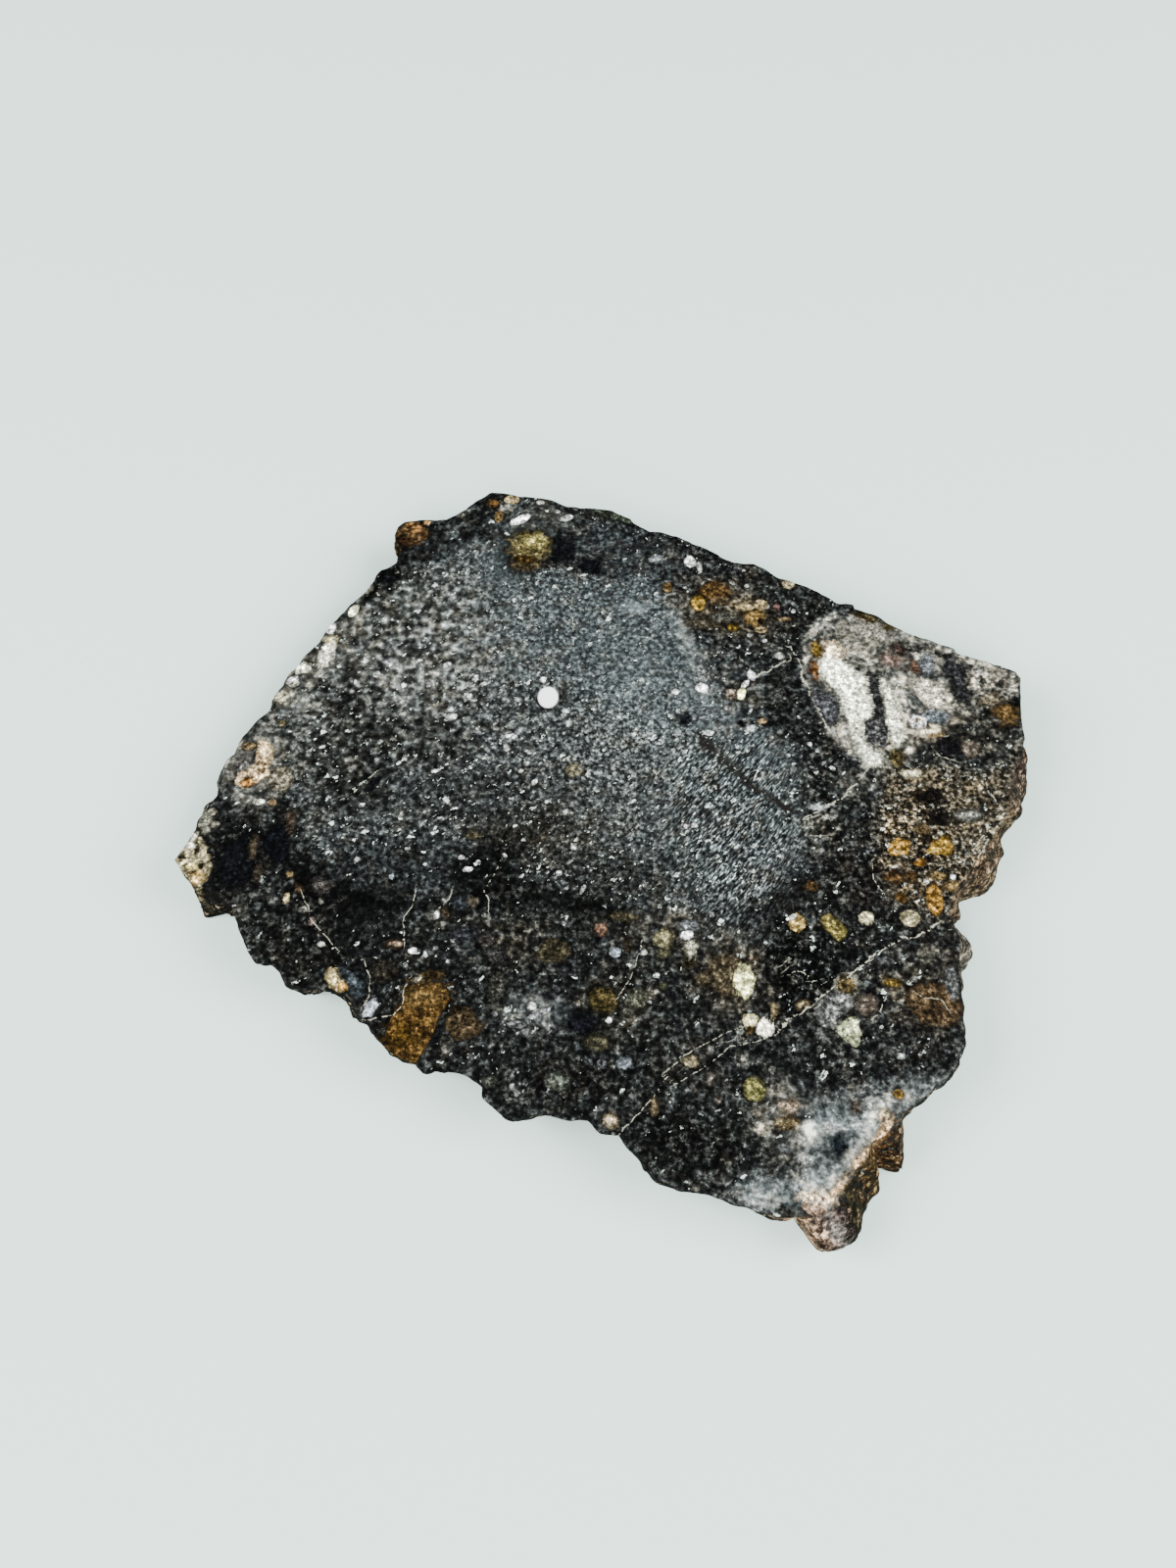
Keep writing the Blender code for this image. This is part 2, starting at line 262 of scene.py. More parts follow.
# Softer changes: centre, size, turn, then what is added to the tone and the others above
shades = [
    # x, y, width, height, turn, tone, spread, warm, film, coarse, dash, marble, shards, specks
    # painted sheen: the next three shades make the upper middle of the big clast lighter, bluer and
    # smoother. This is the polished face's soft reflection of the light, painted in, partly also the
    # clast's own lighter grey
    (0.0, 11.0, 11.0, 8.0, 0, 14, -0.20, 0.0, 0.5, -0.2, 0.0, 0.0, 0.0, -0.15),
    (2.6, 11.0, 6.0, 7.0, 0, 2, -0.05, 0.0, 0.3, 0.0, 0.0, 0.0, 0.0, -0.45),
    (4.4, 6.4, 7.0, 5.0, 0, 20, -0.20, 0.0, 0.5, -0.2, 0.0, 0.0),
    (6.8, 7.4, 1.3, 3.4, -8, 44, 0.10, 0.0, -0.3, 0.3, 0.0, 0.5),
    (5.9, 10.4, 1.0, 3.6, 20, 40, 0.10, 0.0, -0.3, 0.3, 0.0, 0.4),
    (2.9, 12.4, 1.6, 0.9, 0, 60, -0.10, 0.0, -0.2, 0.2, 0.0, 0.3),
    (2.6, 2.6, 9.0, 4.4, 0, 14, 0.10, 0.0, 0.0, -0.2, 0.1, 0.0),
    (8.2, -2.2, 7.0, 9.0, 12, -2, 0.20, 0.0, 0.3, -0.2, 0.85, 0.0),
    (10.3, 1.4, 3.0, 3.6, 0, 10, -0.10, 0.0, 0.5, -0.2, 0.4, 0.0, 0.0, -0.3),
    (7.6, 4.4, 3.0, 1.8, 0, 26, -0.30, 0.0, 0.4, 0.3, -0.3, 0.3, 0.0, -0.4),
    (-10.4, 9.8, 9.0, 8.5, 0, 20, -0.05, 0.1, -0.3, 0.8, 0.0, 0.0),
    (-4.5, 4.0, 6.0, 4.0, 0, -4, 0.05, 0.0, 0.0, 0.3, 0.0, 0.0),
    (-5.2, 15.8, 2.6, 3.6, 0, 6, -0.40, 0.0, 0.6, -0.2, 0.0, 0.0, 0.0, -0.4),
    (-14.2, 2.4, 4.4, 8.0, 0, -30, 0.1, 0.1, -0.2, 0.6, 0.0, 0.0, 0.0, -0.3),
    (-9.5, 3.0, 5.0, 2.8, 0, -18, 0.0, 0.1, -0.2, 0.5, 0.0, 0.0, 0.0, -0.2),
    (-8.0, -1.0, 10.0, 5.0, 0, -27, 0.0, 0.0, 0.0, 0.3, 0.0, 0.0, 0.0, -0.2),
    (-10.6, -5.6, 9.6, 3.6, 0, -42, 0.0, 0.0, 0.2, 0.2, 0.0, 0.0, 0.0, -0.6),
    (-5.2, -5.6, 4.0, 3.2, 0, -44, 0.1, 0.1, 0.0, 0.2, 0.0, 0.0, 0.0, -0.5),
    (-2.6, -3.2, 5.0, 3.0, 0, -27, 0.1, 0.25, -0.2, 0.0, 0.2, 0.0, 0.0, -0.2),
    (0.8, -6.0, 6.0, 3.0, 0, -38, 0.1, 0.05, 0.0, 0.0, 0.2, 0.0, 0.0, -0.3),
    (8.2, -6.6, 5.0, 2.0, 0, -8, 0.1, 0.0, 0.0, 0.0, 0.3, 0.0),
    (7.7, 1.9, 2.8, 0.5, -45, -22, -0.35, 0.15, -0.3, 0.0, -0.3, 0.0),
    (8.9, 0.5, 1.8, 0.5, -44, -20, -0.25, 0.1, 0.0, 0.0, -0.3, 0.0),
    (10.2, -0.6, 3.8, 0.45, -38, -24, -0.35, 0.1, -0.3, 0.0, -0.3, 0.0),
    (13.6, -0.4, 1.6, 6.0, 0, 10, 0.3, 0.1, 0.0, 0.0, 0.0, 0.0),
    (-9.0, 17.4, 5.0, 3.0, 25, 6, -0.1, 0.0, 0.3, 0.3, 0.0, 0.0, -0.5),
    (-13.0, 14.2, 2.4, 3.4, -30, -20, 0.0, 0.0, 0.0, 0.0, 0.0, 0.0),
    (-2.4, 5.9, 3.0, 1.4, 0, -20, 0.0, 0.0, 0.0, 0.0, 0.0, 0.0),
    (-19.4, 1.4, 3.4, 4.4, 0, 86, 0.4, 0.2, -0.2, 0.3, 0.0, 0.7),
    (-16.4, 8.8, 2.0, 6.5, -32, 40, 0.3, 0.15, -0.2, 0.5, 0.0, 0.5),
    (-17.6, 5.6, 2.6, 2.4, 0, 24, 0.2, 0.1, 0.0, 0.5, 0.0, 0.3),
    (-19.8, -4.6, 3.4, 4.4, 0, -18, 0.0, 0.0, 0.0, 0.0, 0.0, 0.0),
    (-15.6, -9.4, 5.0, 4.0, -30, -12, 0.1, 0.1, 0.0, 0.0, 0.0, 0.0),
    (-12.5, -9.5, 4.0, 4.0, 0, -8, -0.2, -0.1, 0.2, 0.0, 0.0, 0.0, -0.3),
    (8.6, 12.4, 5.0, 3.4, -20, 40, 0.2, 0.6, 0.0, 0.2, 0.0, 0.2),
    # painted sheen: lighter, bluer and smoother here, the same painted reflection of the light, partly
    # the ground's own blue-grey
    (1.6, 17.2, 7.0, 3.0, -12, 20, -0.25, 0.0, 0.5, 0.0, 0.0, 0.0, -0.6),
    (-3.6, 18.6, 4.4, 3.4, 0, 40, -0.1, 0.1, 0.3, 0.2, 0.0, 0.2, -0.3),
    (9.0, 6.6, 3.0, 4.4, 0, 32, 0.1, 0.1, 0.1, 0.3, 0.0, 0.2),
    (12.6, 2.6, 1.4, 5.0, 10, -3, 0.0, 0.0, 0.2, 0.0, 0.0, 0.0),
    (22.2, 3.2, 6.0, 2.6, 0, 24, 0.3, 0.3, 0.0, 0.3, 0.0, 0.3),
    (15.8, 0.0, 2.6, 2.0, 20, 34, 0.2, 0.1, 0.0, 0.2, 0.0, 0.3),
    (19.4, 0.2, 2.4, 2.0, 0, 28, 0.1, 0.1, 0.0, 0.2, 0.0, 0.3),
    (22.6, -2.2, 3.4, 4.0, -25, 22, 0.1, 0.0, 0.0, 0.2, 0.0, 0.3),
    (20.0, -2.6, 7.0, 7.0, 0, -8, 0.4, 0.0, 0.0, 0.0, 0.0, 0.0),
    (15.0, -6.0, 3.0, 3.6, 0, -8, 0.1, 0.2, 0.0, 0.0, 0.0, 0.0),
    (13.4, -3.4, 2.4, 2.6, 0, 14, 0.2, 0.15, 0.0, 0.2, 0.0, 0.0),
    (8.0, -11.8, 3.8, 3.8, 0, 26, 0.1, 0.35, 0.0, 0.2, 0.0, 0.2),
    (4.4, -9.4, 5.5, 2.8, 0, 26, 0.2, 0.2, 0.0, 0.2, 0.0, 0.2),
    (7.4, -8.6, 4.0, 1.8, 0, 20, 0.1, 0.0, 0.0, 0.0, 0.4, 0.0),
    (13.5, -13.0, 9.0, 8.0, 0, -7, 0.15, 0.0, 0.0, 0.0, 0.0, 0.0),
    (11.5, -11.5, 3.6, 3.4, 0, -22, 0.5, 0.0, 0.0, 0.0, 0.0, 0.0),
    (13.8, -13.8, 4.4, 4.0, 0, 16, 0.4, 0.1, 0.0, 0.2, 0.0, 0.3),
    (18.2, -12.4, 3.6, 4.4, 0, 26, 0.2, 0.4, 0.0, 0.2, 0.0, 0.2),
    (-3.6, -9.6, 3.4, 3.0, 0, 10, 0.2, 0.3, 0.0, 0.2, 0.0, 0.1),
    (-2.8, -13.6, 3.0, 1.8, 0, 60, 0.2, 0.0, 0.1, 0.2, 0.0, 0.6),
    (-6.4, -9.2, 3.4, 2.2, 0, 12, 0.0, 0.1, 0.2, 0.2, 0.0, 0.0),
    (-8.0, -7.6, 3.4, 1.8, 20, 12, 0.3, 0.1, 0.0, 0.2, 0.0, 0.2),
    (1.6, -13.4, 4.0, 3.4, 0, 10, 0.1, 0.2, 0.0, 0.2, 0.0, 0.1),
    (5.8, -16.4, 4.0, 3.0, 0, 8, 0.3, 0.1, 0.0, 0.2, 0.0, 0.2),
    (10.2, -18.8, 2.4, 3.4, 0, 34, 0.2, 0.1, 0.0, 0.2, 0.0, 0.4),
    (5.6, -20.8, 6.0, 2.4, -20, -18, 0.2, 0.0, 0.0, 0.0, 0.0, 0.0),
    (-0.6, -17.4, 5.0, 2.0, 0, -8, 0.1, 0.1, 0.0, 0.0, 0.0, 0.0),
    (14.4, 4.4, 1.3, 5.4, 16, -30, 0.0, 0.0, 0.1, 0.0, 0.0, 0.0),
    (13.8, 6.6, 1.0, 2.4, 0, -20, 0.0, 0.0, 0.1, 0.0, 0.0, 0.0),
    (16.4, 9.6, 4.0, 2.6, 0, 10, 0.0, 0.1, 0.0, 0.0, 0.0, 0.0),
    (24.2, 6.6, 3.4, 3.0, 0, -16, 0.4, 0.1, 0.0, 0.0, 0.0, -0.1),
    (13.6, -20.6, 4.0, 4.0, 0, 16, -0.1, 0.0, 0.0, 0.0, 0.0, 0.0),
    (12.0, -19.2, 3.0, 2.2, 0, 16, 0.0, 0.0, 0.2, 0.0, 0.0, 0.1),
    (10.1, -20.3, 2.8, 3.6, 0, 26, 0.2, 0.1, 0.1, 0.0, 0.0, 0.2),
    (9.6, -23.0, 4.4, 1.6, -12, 30, 0.0, 0.0, 0.2, 0.0, 0.0, 0.2),
    (15.6, -19.0, 1.4, 4.4, -42, 50, 0.0, 0.15, 0.0, 0.0, 0.0, 0.3),
    (13.2, -21.9, 1.2, 3.4, -42, 50, 0.0, 0.2, 0.0, 0.0, 0.0, 0.3),
    (11.6, -22.8, 2.6, 1.2, 0, 24, -0.2, -0.1, 0.0, 0.0, 0.0, 0.0),
]

# Fragments in the dark ground, the later over the earlier: colour, centre, size, turn
chips = [
    ("#a09460", -3.7, 17.1, 2.5, 2.1, 0, 0.9), ("#5c5238", -3.9, 15.6, 2.0, 0.8, 0, 0.6),
    ("#6c5434", -11.4, 18.1, 2.1, 1.9, 0, 0.5), ("#0b0d10", -1.7, 17.0, 1.0, 2.0, 0, 0.7),
    ("#0b0d10", 0.1, 15.6, 1.4, 1.0, 0), ("#0a0b0d", -12.6, 14.6, 1.0, 0.8, 0),
    ("#3c4438", 1.6, 19.6, 2.9, 0.8, -22), ("#5a4020", -6.2, 20.6, 0.8, 0.7, 0),
    ("#5a4424", 8.0, 13.6, 2.0, 1.5, 0, 0.6), ("#6a6a60", 8.5, 11.6, 1.8, 0.8, 0, 0.5),
    ("#5e5848", 7.0, 11.2, 1.4, 0.7, 0, 0.5), ("#967c46", 10.4, 11.6, 1.3, 1.3, 0, 0.5),
    ("#9aa0a0", 4.4, 16.1, 1.1, 0.6, 0), ("#b8b090", 12.7, 14.2, 0.9, 0.7, 0),
    ("#6a7172", 7.5, 4.6, 2.0, 1.0, 0), ("#15181d", 5.8, 4.3, 0.8, 0.8, 0),
    ("#8c9290", 6.9, 7.4, 1.0, 2.0, 0), ("#8f8a70", -0.8, 0.9, 1.0, 0.9, 0),
    ("#4a4634", -6.5, -3.3, 1.0, 0.5, 0), ("#a89a88", 8.65, 6.1, 0.7, 0.7, 0),
    ("#8a949a", 20.7, 4.5, 1.8, 0.9, 0, 0.6), ("#9aa0a4", 20.7, 8.3, 0.9, 1.4, 0, 0.6),
    ("#7a5a44", 19.9, 8.0, 0.6, 0.9, 0, 0.5), ("#40302a", 19.1, 9.2, 0.9, 0.9, 0, 0.6),
    ("#3c3c3a", 20.0, 9.3, 0.9, 0.9, 0, 0.6), ("#4c5052", 16.3, 7.6, 0.4, 1.0, 0, 0.3),
    ("#a0887a", 18.6, 8.5, 1.4, 0.8, 0, 0.8), ("#b8b6aa", 17.4, 10.5, 2.8, 1.2, -15, 1.0),
    ("#5a5030", 17.3, 11.6, 1.4, 0.6, -25, 0.5), ("#6a6040", 18.6, 11.0, 0.9, 0.8, 0, 0.5),
    ("#705832", 25.0, 4.7, 1.5, 1.5, 0, 0.6), ("#b0a68c", 24.2, 5.7, 1.1, 0.7, 0, 0.5),
    ("#a8a294", 25.1, 7.4, 0.8, 0.7, 0, 0.6), ("#e6decb", 14.9, 9.1, 1.5, 1.5, 0, 0.5),
    ("#85592e", 13.9, 7.8, 0.7, 1.3, 0, 0.5), ("#121012", 21.2, 2.5, 1.6, 1.2, 0),
    ("#8f8474", 22.5, 2.3, 0.9, 1.2, 0), ("#5a5030", 18.1, 1.7, 0.9, 1.3, 0),
    ("#100d0a", 19.8, -0.8, 1.6, 0.9, 0), ("#100d0a", 20.2, -2.2, 1.1, 1.0, 0),
    ("#8c8c84", 21.8, -2.0, 1.6, 0.8, 0), ("#7d6a48", 19.1, -2.9, 1.0, 0.6, 0),
    ("#5a4426", 17.1, -5.9, 1.1, 0.7, 0), ("#5a4426", 18.1, -5.85, 0.8, 0.7, 0),
    ("#8a7448", 19.6, -5.75, 0.9, 0.6, 0), ("#8a7448", 20.4, -6.4, 1.0, 0.7, 0),
    ("#a17c36", 19.25, -7.25, 0.95, 1.9, 0, 0.15), ("#b8b292", 17.75, -8.3, 1.1, 1.0, 0, 0.15),
    ("#c6c2a8", 15.35, -8.3, 0.85, 0.8, 20, 0.15), ("#b8b8aa", 13.9, -12.1, 1.35, 1.35, 0),
    ("#8a7434", 16.3, -12.0, 0.9, 0.5, 0), ("#6d706e", 16.1, -10.75, 0.9, 0.45, 0),
    ("#54442e", 18.5, -13.2, 3.0, 2.4, -20, 0.3), ("#6d706e", 19.6, -12.0, 0.7, 2.0, 0),
    ("#74695c", 14.9, -13.2, 1.2, 1.1, 0, 0.4), ("#9c9a5c", 8.6, -17.75, 1.15, 1.15, 0),
    ("#b8b090", 5.3, -16.3, 0.8, 0.6, 0), ("#54504a", 6.4, -17.2, 0.8, 0.8, 0),
    ("#b5a590", 10.3, -18.6, 1.2, 0.6, 0), ("#8a7c58", 10.2, -19.5, 1.4, 0.6, 0),
    ("#6a6c6c", 10.0, -20.7, 0.9, 0.6, 0), ("#4e4634", 7.6, -11.6, 2.2, 2.6, 25),
    ("#4e4634", 6.2, -11.8, 1.0, 0.8, 0), ("#45402e", -1.9, -10.2, 2.0, 1.3, 0),
    ("#3e3e3c", -5.0, -10.4, 1.0, 1.0, 0), ("#3a3a34", -4.9, -12.2, 1.0, 1.6, 0),
    ("#4e4526", 0.85, -12.95, 1.5, 1.4, 0), ("#5e6050", 2.6, -12.9, 1.2, 1.1, 0),
    ("#50523e", 4.0, -12.2, 0.5, 0.5, 0), ("#3e3c2c", 0.5, -15.3, 1.4, 1.0, 0),
    ("#a8b0b4", 1.9, -16.4, 0.8, 0.6, 0), ("#50564c", -1.6, -17.3, 1.4, 1.0, 0),
    ("#50564c", -5.1, -17.3, 0.8, 0.6, 0), ("#b5a98c", 1.2, -19.3, 0.8, 0.8, 0),
    ("#8a7c5c", 3.4, -18.6, 0.4, 0.9, 0), ("#8c8664", 4.15, -9.45, 1.2, 1.1, 30),
    ("#626048", 4.1, -10.3, 0.8, 0.6, 0), ("#8a8e90", 5.5, -8.75, 1.3, 0.6, 0),
    ("#c8c8b8", 5.6, -10.0, 0.7, 0.9, 0), ("#a08068", 0.75, -8.95, 0.65, 0.8, 0),
    ("#2a2418", 2.2, -9.9, 0.5, 1.0, 0), ("#0c0d12", -0.3, -14.2, 1.5, 1.2, 0),
    ("#56503c", 2.0, -8.2, 1.6, 0.5, 0), ("#2e2a1c", 5.5, -10.9, 0.9, 0.6, 0),
    ("#84867e", -8.6, -8.1, 0.6, 0.5, 0, 0.4), ("#5e5440", -7.9, -8.0, 0.5, 0.6, 0),
    ("#3a3f44", -7.1, -7.4, 0.9, 0.7, 0, 0.5), ("#7c7464", -6.4, -7.3, 0.6, 0.7, 0),
    ("#5a4a38", -10.6, -9.8, 0.9, 0.5, 0), ("#3a3c40", -6.9, -9.2, 1.5, 0.9, 0),
    ("#4c4944", -5.5, -9.6, 0.9, 0.9, 0), ("#22201a", -11.0, -11.3, 1.6, 1.4, 0),
    ("#6c6e68", -9.6, -11.5, 0.5, 0.25, 0), ("#5a4a2c", -8.6, -11.7, 1.7, 0.7, 12),
    ("#64605a", -14.9, -6.4, 1.0, 0.7, 0, 0.5), ("#5c5e5a", -17.5, -7.2, 0.7, 0.5, 0),
    ("#5c5e5a", -18.5, -6.9, 0.8, 0.5, 0), ("#52544e", -18.9, -8.3, 0.6, 0.6, 0),
    ("#8a8884", -20.2, 1.2, 0.9, 0.7, 0), ("#a09a84", -17.9, 0.3, 1.4, 1.6, 0),
    ("#6c6c64", -18.2, -0.7, 1.0, 0.7, 0), ("#463a2e", -17.1, -2.4, 0.8, 1.4, 0, 0.6),
    ("#0a0c0f", -19.8, -5.0, 2.0, 3.0, 0), ("#9c9c8c", -22.0, -2.4, 1.1, 1.6, 15),
    ("#eeead8", -16.0, 9.0, 0.8, 1.9, -10), ("#fff4e4", -16.0, 10.85, 0.8, 0.75, 0),
    ("#c8c4a8", -15.9, 10.0, 0.8, 0.7, 0), ("#9aa090", -16.7, 10.1, 0.6, 0.6, 0),
    ("#ece6d8", -17.4, 7.95, 1.0, 0.65, 0), ("#ffffff", -17.9, 6.95, 0.65, 0.6, 0),
    ("#cccab8", -18.5, 5.9, 0.9, 0.8, 0), ("#c0b890", -18.2, 4.1, 0.3, 0.3, 0),
    ("#9a9a8c", -13.6, 15.6, 0.6, 0.6, 0), ("#a8a89a", -13.9, 13.7, 0.4, 0.9, -30),
    ("#8a8a7e", -16.8, 6.8, 0.7, 0.8, 0), ("#dcd8c6", 18.9, 0.7, 1.4, 0.5, 0),
    ("#c0c6c4", 13.2, -1.5, 1.0, 0.5, -10), ("#6a5434", 12.45, -6.4, 0.7, 0.6, 0),
    ("#9a8c68", 9.9, -13.5, 0.5, 0.8, 0), ("#8c8060", 11.4, -13.2, 0.8, 0.5, 0),
    ("#5a4a34", -16.1, -6.6, 0.5, 0.5, 0), ("#c8c0b0", 10.9, -24.4, 1.0, 0.5, 0),
    ("#b4b4b0", 12.2, -24.7, 1.2, 1.0, 0), ("#c8b8b0", 12.6, -24.0, 0.9, 0.6, 0),
    ("#1c1410", 13.2, -24.3, 0.6, 1.5, 0), ("#34322a", 10.4, -23.95, 2.0, 0.4, -12, 0.5),
]

# Fragments with corners: colour, softness of the edge and outline
brokenChips = [
    ("#dfe0d6", 0.4, [(14, 8.4), (14.6, 8.9), (15.3, 8.7), (16.1, 7.9), (16.8, 7.3), (16.9, 6.4),
                      (17, 5.4), (17, 4.6), (16.4, 4.1), (16.3, 3.4), (16.4, 2.7), (16.9, 2.1),
                      (17.4, 1.6), (17.1, 1.2), (16.3, 1.2), (15.9, 2), (15.6, 3.2), (15.4, 4.6),
                      (15.2, 5.8), (14.6, 6.8), (14.1, 7.4)]),
    ("#2b2d2c", 0.3, [(16.9, 7.7), (17.7, 7.6), (17.7, 6.4), (17.8, 5.3), (17.7, 4.4), (17, 4.4),
                      (17.1, 5.2), (16.9, 6.2)]),
    ("#545554", 0.3, [(16.4, 4.2), (17.1, 4.5), (17.8, 4.3), (17.9, 3.4), (17.8, 2.6), (17.2, 2.3),
                      (16.7, 2.7), (16.3, 3.4)]),
    ("#dcdcd2", 0.3, [(17.8, 7.3), (18.1, 7), (18.4, 6.2), (18.7, 5.5), (18.8, 4.8), (18.6, 4.2),
                      (19, 3.6), (18.9, 3.1), (18.4, 2.6), (18, 2.4), (17.95, 3.2), (17.8, 4.2),
                      (17.85, 5.4), (17.8, 6.4)]),
    ("#56585a", 0.4, [(13.4, 6.8), (14.2, 6.5), (14.9, 5.9), (15.1, 5), (14.9, 4.2), (14.3, 4),
                      (13.8, 4.6), (13.4, 5.4)]),
    ("#d0cec2", 0.4, [(19.5, 7.2), (20.6, 7.1), (21.3, 6.7), (21.9, 6), (22.1, 5.2), (21.6, 4.8),
                      (21.2, 5.2), (20.6, 5), (20.1, 5.5), (19.8, 6.2), (19.4, 6.6)]),
    ("#2e2f30", 0.5, [(21.2, 9.2), (22.4, 8.7), (23, 8.2), (23.2, 7.4), (22.8, 6.6), (23, 5.8),
                      (22.8, 5.3), (22.2, 5.4), (21.9, 6.3), (22, 7), (21.6, 7.8)]),
    ("#bc9c46", 0.15, [(17.6, -3.35), (18.3, -3.7), (18.1, -4.5), (17.1, -4.55), (16.95, -4.2),
                       (17.2, -3.7)]),
    ("#aa8c3a", 0.15, [(19.6, -3.6), (20.5, -3.3), (20.7, -4), (20.4, -4.6), (19.9, -4.5), (19, -4.4)]),
    ("#c9b878", 0.15, [(11, -8.3), (11.5, -8), (11.9, -8.2), (11.95, -8.8), (11.5, -9.2), (11.1, -8.9)]),
    ("#8a8045", 0.15, [(12.8, -8.2), (13.3, -8), (14.2, -8.9), (14.2, -9.3), (13.7, -9.7),
                       (12.9, -8.8)]),
    ("#7d7f7c", 0.15, [(12.3, -13), (13.3, -12.5), (14.1, -12.6), (14.2, -13.4), (13.3, -13.9),
                       (13.1, -14.6), (12.3, -14.4), (12, -13.7)]),
    ("#c5c9ae", 0.15, [(13.1, -14.7), (13.9, -13.8), (14.35, -14.1), (14.4, -14.9), (14.15, -15.6),
                       (13.5, -15.1)]),
    ("#e8e8d8", 0.15, [(8.85, -14.5), (9.3, -13.9), (9.8, -14.3), (9.8, -14.8), (9.3, -15.05),
                       (8.9, -14.8)]),
    ("#d8d4b8", 0.15, [(8.05, -13.9), (8.6, -13.7), (9.2, -13.9), (8.9, -14.2), (8.5, -14.7),
                       (8.3, -14.4)]),
    ("#d2d2b0", 0.15, [(8.2, -11), (8.8, -11), (9, -11.8), (8.8, -12.6), (8.5, -13), (8.1, -12.6),
                       (7.8, -12), (7.9, -11.6)]),
    ("#74582a", 0.15, [(-9.9, -12.3), (-9, -12), (-8, -12), (-7.4, -12.5), (-7.4, -13), (-7.6, -13.3),
                       (-7.9, -13.8), (-8.2, -14.9), (-8.6, -15.7), (-9, -16.4), (-10.4, -15.9),
                       (-10.75, -15.2), (-10.7, -14.4), (-10.2, -13.4), (-9.9, -12.9)]),
    ("#4a3e2a", 0.15, [(-7.1, -13.2), (-6.3, -13.4), (-5.9, -13.9), (-5.5, -14.5), (-6, -15),
                       (-6.9, -15.2), (-7.5, -14.6), (-7.6, -14)]),
    ("#c2b88c", 0.15, [(-14, -11), (-13.8, -11.1), (-13.4, -11.7), (-12.9, -12.1), (-12.95, -12.35),
                       (-13.3, -12.6), (-13.9, -12.2), (-14.2, -11.7)]),
    ("#3c4448", 0.15, [(-13.7, -11), (-13.2, -11.1), (-12.4, -11.7), (-12, -12), (-12, -12.7),
                       (-12.4, -12.95), (-12.8, -12.5), (-13.1, -11.9)]),
    ("#c8ccd0", 0.15, [(-11.9, -13.2), (-11.4, -12.9), (-11.15, -13.2), (-11.5, -13.8), (-12, -13.95)]),
    ("#cdbf9f", 0.15, [(-19.5, 2.9), (-19, 2.9), (-18.5, 2.4), (-18.5, 1.6), (-18.7, 1.1),
                       (-18.6, 0.6), (-18.9, 0.3), (-19.4, 0), (-20, -0.3), (-20.5, 0), (-20.5, 0.7),
                       (-19.9, 1), (-19.5, 1.3), (-19.5, 2)]),
    ("#07090d", 0.15, [(-18.1, -2.8), (-17.5, -2.4), (-17.2, -2.7), (-16.95, -3.8), (-17, -4.8),
                       (-17.4, -5), (-17.9, -4.7), (-18.3, -4.2), (-18.5, -3.5)]),
    ("#bab494", 0.25, [(-23.6, -4.8), (-22.9, -2.9), (-22.1, -3.3), (-21.6, -4.1), (-21.2, -5),
                       (-21.3, -5.8), (-21.5, -6.2), (-21.6, -6.9), (-22.2, -6.6), (-22.8, -5.8)]),
    ("#0c0d10", 0.15, [(-13, -0.5), (-12.5, -0.4), (-12.1, 0.2), (-12.2, 0.5), (-12.7, 0.2)]),
]

